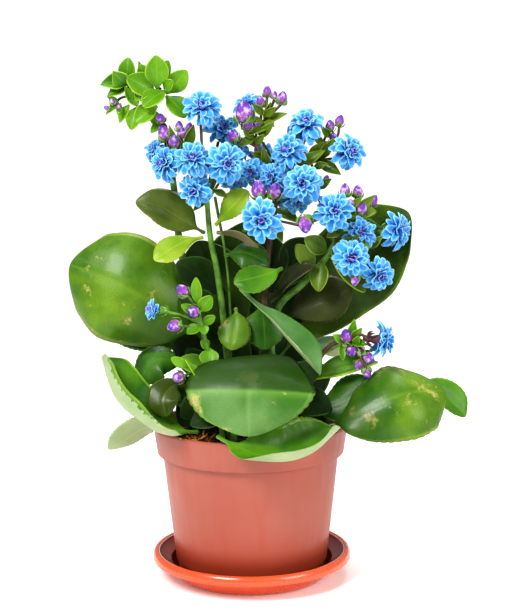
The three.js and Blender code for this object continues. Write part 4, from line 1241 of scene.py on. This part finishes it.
# Routes in millimetres, as the frame's own stems run: the stem, the stalks that leave it, the
# buds as (place, radius, lean) and the small leaves by shape, as (foot, tip, width, face).
SPRAYS = {
    "spray_left": dict(
        radii=(2.2, 2.1, 1.9, 1.5), woody_above=241, skin=STEM_GREEN, leaf=(LEAF_TWIG, UNDER),
        stem=[(-10, -6, ROOTED), (-14, -10, 140), (-19, -12, 190), (-23, -12, 212), (-25, -12, 238)],
        stalks=[[(-13, 0, ROOTED), (-13, -8, 190), (-20, -9, 236)],
                [(-25, -12, 236), (-27, -8, 255), (-28, -5, 280)],
                [(-25, -12, 237), (-21, -2, 255), (-18, 9, 268)],
                [(-25, -12, 233), (-17, -4, 245), (-12, 6, 258)],
                [(-25, -12, 236), (-34, -8, 250), (-42, -7, 255)],
                [(-25, -12, 236), (-29, -14, 248), (-31, -18, 257)],
                [(-25, -12, 234), (-19, -16, 246), (-15, -19, 255)],
                [(-25, -12, 230), (-28, -13, 238), (-30, -16, 242)],
                [(-34, -8, 250), (-38, -4, 262), (-41, -5, 276)],
                [(-38, -4, 262), (-44, -2, 266), (-50, -4, 272)],
                [(-38, -4, 262), (-38, -4, 266), (-35, -3, 275)],
                [(-38, -4, 262), (-42, -6, 264), (-44, -8, 267)]],
        buds=[((-50, -4, 274), 4.6, (-0.4, 0, 1)), ((-44, -9, 269), 4, (0, -0.5, 1)),
              ((-41, -5, 278), 2.8, (0, 0, 1)), ((-35, -3, 277), 2.8, (0.2, 0, 1)),
              ((-39, -8, 274), 3.2, (0.1, -0.4, 1))],
        pointed=[((-38, -6, 264), (-32, -9, 279), 7, (0.3, -0.9, 0)),
                 ((-37, -7, 262), (-44, -10, 274), 4, (-0.3, -0.9, 0.2)),
                 ((-34, -9, 262), (-26, -9, 256), 4, (0.3, -0.9, 0.2)),
                 ((-25, -12, 234), (-33, -16, 228), 5, (-0.3, -0.9, 0.3)),
                 ((-21, -14, 240), (-12, -16, 236), 5, (0.3, -0.9, 0.3)),
                 ((-24, -13, 238), (-20, -18, 250), 5, (0.1, -0.9, 0.3)),
                 ((-40, -4, 262), (-47, -7, 279), 5, (-0.3, -0.9, 0)),
                 ((-25, -12, 240), (-40, -16, 246), 6, (-0.2, -0.8, 0.5))]),
    "spray_mid": dict(
        radii=(2.3, 2.1, 1.9, 1.5, 1.3), skin=STEM_BROWN, leaf=(LEAF_TWIG, UNDER_OLIVE),
        stem=[(4, 0, ROOTED), (8, 2, 150), (12, 0, 200), (16, -4, 232), (13, -3, 252), (5, -2, 265)],
        stalks=[[(5, -2, 265), (2, 2, 276), (2, 11, 284)], [(4, -1, 268), (-1, -2, 272), (-2, -3, 283)],
                [(6, -2, 264), (10, 4, 280), (12, 8, 295)], [(10, 4, 280), (16, 5, 286), (21, 6, 291)],
                [(7, 1, 272), (8, 3, 280), (8, 4, 289)], [(4, -2, 266), (-4, -6, 270), (-8, -8, 272)],
                [(13, -3, 251), (9, -1, 251), (5, -2, 251)],
                [(16, -4, 233), (26, 0, 250), (35, 4, 270)],
                [(14, -3, 250), (20, -7, 256), (26, -12, 258)],
                [(26, 0, 250), (42, 5, 256), (57, 4, 258)],
                [(16, -4, 234), (24, -12, 240), (31, -24, 242)],
                [(15, -4, 238), (16, -7, 243), (17, -10, 246)],
                [(16, -4, 222), (12, -18, 223), (9, -31, 224)],
                [(42, 5, 256), (46, 8, 268), (50, 9, 275)],
                [(46, 8, 266), (54, 10, 270), (56, 12, 278)],
                [(12, -18, 223), (8, -19, 231), (6, -20, 237)],
                [(12, -18, 223), (20, -26, 222), (31, -32, 220)],
                [(10, 4, 280), (14, -1, 288), (16, -5, 293)],
                [(4, -1, 266), (5, -1, 271), (5, -2, 277)],
                [(11, -15, 224), (15, -21, 229), (16, -24, 236)],
                [(16, -1, 232), (17, 1, 250), (9, 1, 268)], [(34, 2, 262), (40, 0, 250), (42, -4, 236)],
                [(42, -4, 236), (46, -6, 222), (50, -12, 208)]],
        buds=[((12, 8, 298), 3.1, (0, 0, 1)), ((21, 6, 294), 3.7, (0.2, 0, 1)),
              ((8, 4, 292), 3.3, (-0.2, 0, 1)), ((-2, -6, 286), 6.2, (0, -0.3, 1)),
              ((-9, -9, 272), 3.8, (-0.6, -0.5, 1)), ((50, 9, 277), 3.3, (0, 0, 1)),
              ((56, 12, 280), 3.3, (0.3, 0, 1)), ((6, -22, 241), 5.2, (-0.1, -0.3, 1)),
              ((33, -35, 221), 4.8, (0.1, -0.5, -1)), ((0, -6, 279), 3.8, (0.2, -0.6, 1)),
              ((16, -24, 240), 4.6, (0.1, -0.3, 1)), ((16, -6, 296), 2.2, (0.1, -0.3, 1)),
              ((5, -2, 279), 2.4, (-0.2, -0.6, 1)), ((52, 8, 270), 3, (-0.1, -0.3, 1)),
              ((48, 4, 262), 2.4, (0.3, -0.6, 0.6)), ((47, -6, 246), 2.2, (0.2, -0.5, 0.6))],
        pointed=[((10, 2, 284), (3, -4, 291), 5, (-0.3, -0.9, 0.3)),
                 ((10, 2, 283), (17, -4, 289), 5, (0.3, -0.9, 0.3)),
                 ((9, 1, 281), (2, -5, 280), 5, (-0.2, -0.9, 0.4)),
                 ((10, 1, 280), (16, -5, 277), 5, (0.2, -0.9, 0.4)),
                 ((14, 2, 279), (0, -5, 272), 8, (0, -0.8, 0.6)),
                 ((4, -2, 270), (-3, -7, 276), 5, LEFTWARD), ((4, -2, 270), (-6, -7, 266), 6, LEFTWARD),
                 ((5, -3, 267), (10, -8, 273), 5, RIGHTWARD), ((9, -2, 258), (2, -8, 262), 5, LEFTWARD),
                 ((41, -3, 240), (50, -8, 246), 6, (0.2, -0.9, 0.2)),
                 ((41, -3, 240), (34, -8, 232), 6, (-0.2, -0.9, 0.2)),
                 ((44, -5, 230), (54, -10, 234), 6, RIGHTWARD),
                 ((45, -6, 226), (38, -12, 220), 7, (-0.2, -0.9, 0.2)),
                 ((39, -1, 252), (48, -4, 255), 5, RIGHTWARD),
                 ((33, 2, 262), (28, -4, 273), 6, (-0.3, -0.9, 0.2)),
                 ((36, 3, 258), (46, -2, 268), 6, RIGHTWARD), ((50, 6, 270), (44, 0, 277), 5, LEFTWARD),
                 ((46, 6, 266), (38, 0, 272), 5, LEFTWARD),
                 ((30, -4, 250), (37, -10, 256), 6, RIGHTWARD),
                 ((24, -6, 244), (34, -12, 248), 7, RIGHTWARD),
                 ((22, -8, 240), (12, -16, 246), 6, LEFTWARD),
                 ((16, -14, 232), (24, -22, 236), 7, RIGHTWARD),
                 ((22, -16, 232), (36, -22, 232), 8, (0.1, -0.9, 0.4)),
                 ((16, -6, 228), (30, -12, 220), 9, (0.2, -0.8, 0.5)),
                 ((14, -6, 226), (4, -14, 226), 7, (-0.2, -0.8, 0.5)),
                 ((10, 4, 280), (14, 0, 292), 6, (0.2, -0.9, 0)),
                 ((10, 4, 279), (24, -2, 285), 6, (0, -0.8, 0.5)),
                 ((7, 0, 270), (16, -6, 280), 6, (0, -0.9, 0.3)),
                 ((13, -3, 251), (9, -10, 266), 6, (-0.3, -0.9, 0.1)),
                 ((15, -3, 246), (24, -8, 270), 5, (0.3, -0.9, 0)),
                 ((26, 0, 250), (47, -2, 263), 8, (0, -0.8, 0.4)),
                 ((42, 5, 256), (52, 0, 270), 7, (0.2, -0.9, 0.2)),
                 ((42, 5, 256), (56, -2, 248), 8, (0.1, -0.9, 0.2)),
                 ((26, 0, 251), (40, -4, 246), 8, (0, -0.9, 0.2)),
                 ((12, -18, 222), (20, -26, 210), 8, (0.3, -0.9, 0.2)),
                 ((12, -18, 223), (-4, -24, 216), 8, (-0.3, -0.9, 0.2))]),
    "spray_right": dict(
        radii=(2.4, 2.2, 2, 1.6), skin=STEM_GREEN, leaf=(LEAF_TWIG, UNDER_OLIVE),
        stem=[(12, -6, ROOTED), (13, -10, 130), (17, -14, 168), (34, -18, 186), (50, -14, 205),
              (58, -8, 226)],
        stalks=[[(51, -14, 206), (50, -18, 216), (50, -24, 226)],
                [(54, -12, 214), (60, -10, 216), (64, -12, 215)],
                [(48, -15, 202), (54, -20, 202), (60, -30, 202)],
                [(50, -14, 205), (62, -16, 200), (73, -19, 194)],
                [(57, -9, 222), (70, -4, 222), (82, -2, 214)],
                [(58, -8, 225), (58, -8, 230), (58, -8, 237)],
                [(58, -8, 225), (63, -4, 230), (66, -3, 236)],
                [(58, -8, 225), (68, -3, 228), (73, -2, 231)],
                [(58, -8, 224), (62, -10, 226), (66, -11, 227)]],
        buds=[((58, -8, 239), 3.7, (0, 0, 1)), ((66, -3, 238), 3.5, (0.1, 0, 1)),
              ((75, -2, 232), 3.7, (0.6, 0, 1)), ((68, -12, 228), 3.5, (0.4, -0.5, 1)),
              ((61, -12, 231), 3, (0.1, -0.6, 1)), ((62, -36, 188), 3, (-0.2, -0.4, -1))],
        pointed=[((58, -9, 228), (52, -14, 236), 5, (-0.3, -0.9, 0.2)),
                 ((60, -9, 228), (68, -13, 235), 5, RIGHTWARD),
                 ((60, -8, 226), (71, -12, 222), 6, RIGHTWARD),
                 ((64, -6, 226), (76, -8, 236), 6, (0.3, -0.9, 0.2)),
                 ((56, -12, 218), (66, -18, 222), 6, RIGHTWARD),
                 ((54, -14, 214), (46, -22, 212), 7, LEFTWARD),
                 ((60, -18, 208), (72, -24, 206), 7, (0.2, -0.8, 0.4)),
                 ((52, -18, 204), (66, -26, 214), 6, RIGHTWARD),
                 ((64, -18, 200), (58, -26, 190), 7, LEFTWARD),
                 ((70, -14, 204), (80, -16, 212), 6, RIGHTWARD)],
        round=[((48, -16, 201), (69, -22, 179), 14, (0.2, -0.8, 0.6)),
               ((44, -17, 198), (41, -26, 180), 12, (-0.3, -0.9, 0.3)),
               ((57, -9, 224), (77, -8, 226), 9, (0, -0.8, 0.5)),
               ((47, -15, 202), (33, -22, 212), 12, (-0.3, -0.9, 0.4)),
               ((40, -17, 193), (28, -20, 208), 11, (-0.3, -0.9, 0.4)),
               ((50, -14, 206), (56, -20, 196), 9, RIGHTWARD)]),
    "shoot_top_left": dict(
        radii=(2.4, 2.3, 2.1, 1.6, 1.3), woody_above=262, skin=STEM_GREEN,
        leaf=(LEAF_FRESH, UNDER_FRESH),
        stem=[(-14, 4, ROOTED), (-30, 6, 150), (-42, 6, 205), (-45, 3, 240), (-50, 3, 272), SHOOT_TOP,
              (-64, 5, 300)],
        stalks=[[SHOOT_TOP, (-55, 4, 296), SHOOT_TIP], [SHOOT_TOP, (-68, 5, 296), SHOOT_FORK],
                [(-68, 5, 296), (-76, 3, 295), (-80, 0, 291)],
                [(-50, 3, 272), (-49, -2, 278), (-52, -4, 281)]],
        buds=[((-81, -1, 293), 2.3, (-0.4, 0, 1)), ((-77, -4, 290), 1.8, (0, -0.4, 1)),
              ((-84, -2, 289), 1.8, (-0.8, 0, 0.4)), ((-52, -5, 283), 3, (-0.2, -0.6, 0.6))],
        pointed=[((-71, 2, 291), (-77, 0, 280), 7, (-0.4, -0.9, 0)),
                 ((-72, 3, 303), (-88, -1, 303), 12, (-0.2, -0.9, 0.5)),
                 ((-64, 3, 306), (-65, 2, 317), 4.5, (0.6, -0.8, 0)),
                 ((-72, 2, 301), (-84, -2, 296), 8, (-0.2, -0.9, 0.4)),
                 ((-69, -1, 292), (-73, -3, 302), 5.5, (0.2, -0.9, 0.2)),
                 ((-72, 0, 303), (-80, -4, 311), 11, (-0.4, -0.9, 0.2)),
                 ((-77, 1, 292), (-85, -3, 285), 4.5, (-0.3, -0.9, 0.3)),
                 ((-77, 0, 292), (-84, -2, 296), 4, (-0.3, -0.9, 0.3)),
                 ((-76, 0, 292), (-78, -4, 285), 4, RIGHTWARD)],
        round=[((-54, 0, 300), (-54, -6, 320), 15, (0.1, -1, 0.25)),
               ((-55, 1, 297), (-72, -5, 307), 15, (-0.3, -0.9, 0.5)),
               ((-49, 2, 297), (-36, -1, 311), 13, (0.3, -0.8, 0.2)),
               ((-49, 0, 299), (-62, -9, 289), 14, (-0.1, -0.8, 0.6)),
               ((-49, 1, 296), (-37, -4, 283), 14, (0.3, -0.9, 0.4)),
               ((-54, 1, 290), (-67, -5, 280), 13, (-0.2, -0.9, 0.4)),
               ((-64, 2, 291), (-70, -3, 276), 11, (-0.3, -0.9, 0.2)),
               ((-55, 1, 303), (-47, 2, 317), 9, (0.3, -0.9, 0.1)),
               ((-72, 2, 302), (-71, 2, 319), 11, (-0.2, -1, 0)),
               ((-60, 2, 298), (-66, -7, 293), 9, (-0.3, -0.9, 0.4)),
               ((-58, 2, 303), (-64, -2, 315), 9, (-0.2, -0.9, 0.2)),
               ((-50, 1, 300), (-44, -6, 305), 8, RIGHTWARD),
               ((-72, 2, 299), (-66, -3, 290), 8, RIGHTWARD),
               ((-50, 1, 281), (-58, -4, 274), 6, (-0.3, -0.9, 0.3)),
               ((-50, 1, 276), (-58, -1, 288), 8, (-0.4, -0.9, 0.2))]),
    "spray_low_left": dict(
        radii=(1.7, 1.6, 1.4), skin=STEM_GREEN, leaf=(LEAF_FRESH, UNDER_FRESH),
        stem=[(-16, -18, ROOTED), (-22, -28, 130), (-28, -34, 160), (-31, -36, 175)],
        stalks=[[(-30, -35, 170), (-34, -36, 177), (-37, -36, 181)],
                [(-29, -34, 165), (-31, -37, 167), (-32, -39, 170)],
                [(-28, -34, 160), (-36, -38, 162), (-42, -42, 163)],
                [(-28, -34, 162), (-38, -38, 168), (-49, -39, 171)],
                [(-21, -26, 124), (-31, -38, 134), (-41, -49, 134)]],
        buds=[((-39, -36, 183), 3.9, (-0.7, -0.2, 0.7)), ((-33, -40, 171), 3.9, (-0.5, -0.7, 0.2)),
              ((-44, -42, 163), 4.1, (-0.7, -0.4, -0.2)), ((-42, -50, 134), 3.7, (-0.5, -0.7, 0.2))],
        round=[((-30, -35, 173), (-31, -38, 191), 7, (-0.2, -1, 0.1)),
               ((-30, -35, 170), (-22, -38, 180), 9, (0.2, -1, 0.2)),
               ((-29, -35, 168), (-40, -39, 175), 6, (-0.2, -0.9, 0.4)),
               ((-28, -34, 163), (-20, -38, 168), 6, (0.3, -0.9, 0.2)),
               ((-28, -34, 162), (-37, -40, 158), 7, (-0.2, -0.9, 0.4)),
               ((-28, -34, 163), (-26, -38, 157), 6, (0.2, -0.9, 0.2)),
               ((-24, -30, 148), (-24, -37, 137), 12, (0, -0.9, 0.3)),
               ((-24, -30, 148), (-29, -35, 153), 6, (-0.2, -0.9, 0.4)),
               ((-22, -28, 132), (-43, -26, 140), 13, (0, -0.8, 0.6)),
               ((-38, -46, 144), (-24, -44, 122), 9, (0.7, -0.5, 0.5)),
               ((-36, -44, 138), (-46, -46, 145), 6, (-0.3, -0.8, 0.4))]),
    "spray_low_right": dict(
        radii=(1.7, 1.5, 1.3), skin=STEM_BROWN, leaf=(LEAF_FRESH, UNDER_FRESH),
        stem=[(18, -16, ROOTED), (36, -24, 126), (48, -28, 148), (60, -34, 152)],
        stalks=[[(54, -31, 151), (56, -33, 153), (57, -34, 154)],
                [(56, -32, 151), (59, -36, 149), (60, -37, 147)],
                [(58, -33, 152), (62, -36, 146), (64, -36, 139)],
                [(60, -34, 152), (66, -36, 147), (69, -36, 143)],
                [(66, -36, 147), (67, -38, 140), (69, -38, 134)],
                [(60, -34, 152), (64, -37, 156), (70, -38, 154)]],
        buds=[((57, -35, 155), 4.1, (-0.2, -0.5, 1)), ((60, -38, 146), 3.5, (0, -0.8, -0.3)),
              ((64, -37, 138), 2.9, (0, -0.3, -1)), ((70, -37, 142), 3.7, (0.5, -0.4, -0.3)),
              ((69, -38, 133), 3.1, (0.2, -0.2, -1))],
        pointed=[((36, -24, 127), (77, -24, 137), 17, (0, -0.6, 0.8)),
                 ((58, -33, 152), (62, -34, 165), 6, (0.2, -0.9, 0)),
                 ((60, -34, 153), (66, -37, 160), 6, (0.2, -0.9, 0.2)),
                 ((56, -32, 151), (49, -36, 156), 6, LEFTWARD),
                 ((60, -34, 151), (69, -39, 150), 6, (0.1, -0.8, 0.4)),
                 ((54, -31, 149), (55, -36, 140), 5, (0.2, -0.9, 0.2)),
                 ((62, -35, 150), (64, -40, 156), 5, (0, -0.9, 0.3))]),
}


def grow_spray(node, form, seed):
    """One stem with its stalks as a single skin, then its buds and its small leaves."""
    rng = random.Random(seed)
    rods = [stem_rod(form["stem"], form["radii"])]
    rods += [stem_rod(route, (1.25 * STALK, STALK, 1.2 * STALK)) for route in form["stalks"]]
    stems = join(rods)
    make_active(stems)
    bpy.ops.object.convert(target="MESH")
    stems = bpy.context.object
    apply_modifier(stems, "REMESH", mode="VOXEL", voxel_size=STEM_GRAIN)
    apply_modifier(stems, "SMOOTH", factor=0.5, iterations=4)
    make_active(stems)
    bpy.ops.object.shade_smooth()
    woody = form.get("woody_above", SPRAY_TOP) * MM
    for face in stems.data.polygons:
        face.material_index = int(face.center.z > woody)
    settle(stems, node + "_stems", SLOTS[node], (form["skin"], STEM_BROWN), node)
    copies = []
    for place, radius, lean in form["buds"]:
        add_bud(copies, place, radius, lean, rng)
    settle(gathered(copies), node + "_buds", "petals", (CALYX, BUD))
    settle(small_leaves(form), node + "_leaves", "leaf_green", form["leaf"])


for number, (node, form) in enumerate(SPRAYS.items()):
    grow_spray(node, form, 200 + number)


# Leaves deep in the plant that close the view between its stems, in a near-black green that is painted
# shade.
INNER_LEAVES = dict(
    round=[((-14, 4, 118), (-47, 8, 150), 27, (0.1, -1, 0.3)),
           ((-10, 2, 106), (-52, 4, 116), 24, (0, -1, 0.5)),
           ((0, 2, 120), (-24, -2, 164), 27, (-0.1, -1, 0.2)),
           ((10, 6, 110), (27, 8, 164), 30, (0.2, -1, 0.2)),
           ((12, 4, 105), (50, 6, 128), 27, (0.1, -1, 0.4)),
           ((-4, 8, 106), (2, 12, 156), 36, (0, -1, 0.1)),
           ((16, 4, 150), (40, 10, 182), 24, (0, -1, 0.3)),
           ((-16, -8, 160), (-42, -10, 176), 22, (0, -1, 0.4)),
           ((-14, -4, 176), (-44, -2, 196), 22, (0, -1, 0.5)),
           ((-24, 14, 92), (-45, 18, 108), 26, (0, -1, 0.2)),
           ((-28, 26, 90), (-38, 30, 114), 24, (0, -1, 0.2)),
           ((30, 12, 92), (46, 16, 110), 26, (0, -1, 0.2)),
           ((24, 26, 90), (34, 32, 116), 26, (0, -1, 0.2)),
           ((14, 2, 176), (10, 10, 212), 26, (0, -1, 0.3)),
           ((18, 4, 184), (38, 10, 208), 24, (0.2, -1, 0.3))],
    toothed=[((-20, -6, 112), (-42, -22, 104), 20, (-0.1, -0.9, 0.5)),
             ((-24, -14, 126), (-38, -22, 146), 15, (0, -1, 0.3)),
             ((-10, -46, 112), (-35, -53, 106), 17, (0, -0.7, 0.7)),
             ((24, -20, 112), (48, -36, 110), 22, (0.2, -0.8, 0.6)),
             ((20, -22, 124), (42, -28, 134), 17, (0.1, -0.9, 0.4))])
settle(small_leaves(INNER_LEAVES), "inner_leaves", "leaf_green", (LEAF_SHADED, UNDER_OLIVE))


# ---------------------------------------------------------------- camera, light and floor

CAMERA_DISTANCE = 0.9
CAMERA_RISE = math.radians(8.14)
CAMERA_TILT = math.radians(-0.54)
AIM_HEIGHT = 0.1683
LENS = 86.55
SIDE_SHIFT = 0.0092
FLOOR_SIZE = 1.8
FLOOR_GAP = 0.0002
STUDIO_FILL = 0.36


def set_camera():
    data = bpy.data.cameras.new("camera")
    camera = bpy.data.objects.new("camera", data)
    bpy.context.scene.collection.objects.link(camera)
    data.lens = LENS
    data.sensor_width = 36
    data.shift_x = SIDE_SHIFT
    data.clip_start = 0.05
    back = Vector((0, -math.cos(CAMERA_RISE), math.sin(CAMERA_RISE)))
    right = Vector((1, 0, 0))
    up = back.cross(right)
    turn = Matrix((right, up, back)).transposed().to_4x4()
    roll = Matrix.Rotation(CAMERA_TILT, 4, "Z")
    place = Matrix.Translation(Vector((0, 0, AIM_HEIGHT)) + back * CAMERA_DISTANCE)
    camera.matrix_world = place @ turn @ roll
    bpy.context.scene.camera = camera


def set_light(name, place, aim_height, size, power):
    data = bpy.data.lights.new(name, "AREA")
    data.size = size
    data.energy = power
    light = bpy.data.objects.new(name, data)
    bpy.context.scene.collection.objects.link(light)
    light.location = place
    light.rotation_euler = (Vector((0, 0, aim_height)) - light.location).to_track_quat("-Z", "Y").to_euler()


def set_stage():
    """A pale floor under a white studio that fills the shadows softly."""
    deselect()
    bpy.ops.mesh.primitive_plane_add(size=FLOOR_SIZE, location=(0, 0, -FLOOR_GAP))
    floor = bpy.context.object
    floor.name = "floor"
    finish = Finish("floor_white", 0.7, specular=0.1)
    finish.surface.inputs["Base Color"].default_value = (0.95, 0.95, 0.95, 1)
    finish.surface.inputs["Emission Color"].default_value = (1, 1, 1, 1)
    finish.surface.inputs["Emission Strength"].default_value = 0.12
    floor.data.materials.append(finish.material)
    world = bpy.data.worlds.new("studio")
    bpy.context.scene.world = world
    world.use_nodes = True
    tree = world.node_tree
    sky = tree.nodes["Background"]
    sky.inputs["Color"].default_value = (1, 1, 1, 1)
    seen = tree.nodes.new("ShaderNodeLightPath").outputs["Is Camera Ray"]
    level = math_node(tree, "MAXIMUM", seen, STUDIO_FILL)
    tree.links.new(level, sky.inputs["Strength"])


set_camera()
set_stage()
set_light("key", place=(-0.7, -0.9, 1.2), aim_height=0.17, size=0.5, power=21)
set_light("fill", place=(1.0, -0.8, 0.7), aim_height=0.17, size=0.6, power=8)
set_light("top", place=(0.1, 0.4, 1.4), aim_height=0.2, size=0.8, power=12)
bpy.context.scene.view_settings.view_transform = "Standard"
bpy.context.scene.view_settings.look = "Medium High Contrast"
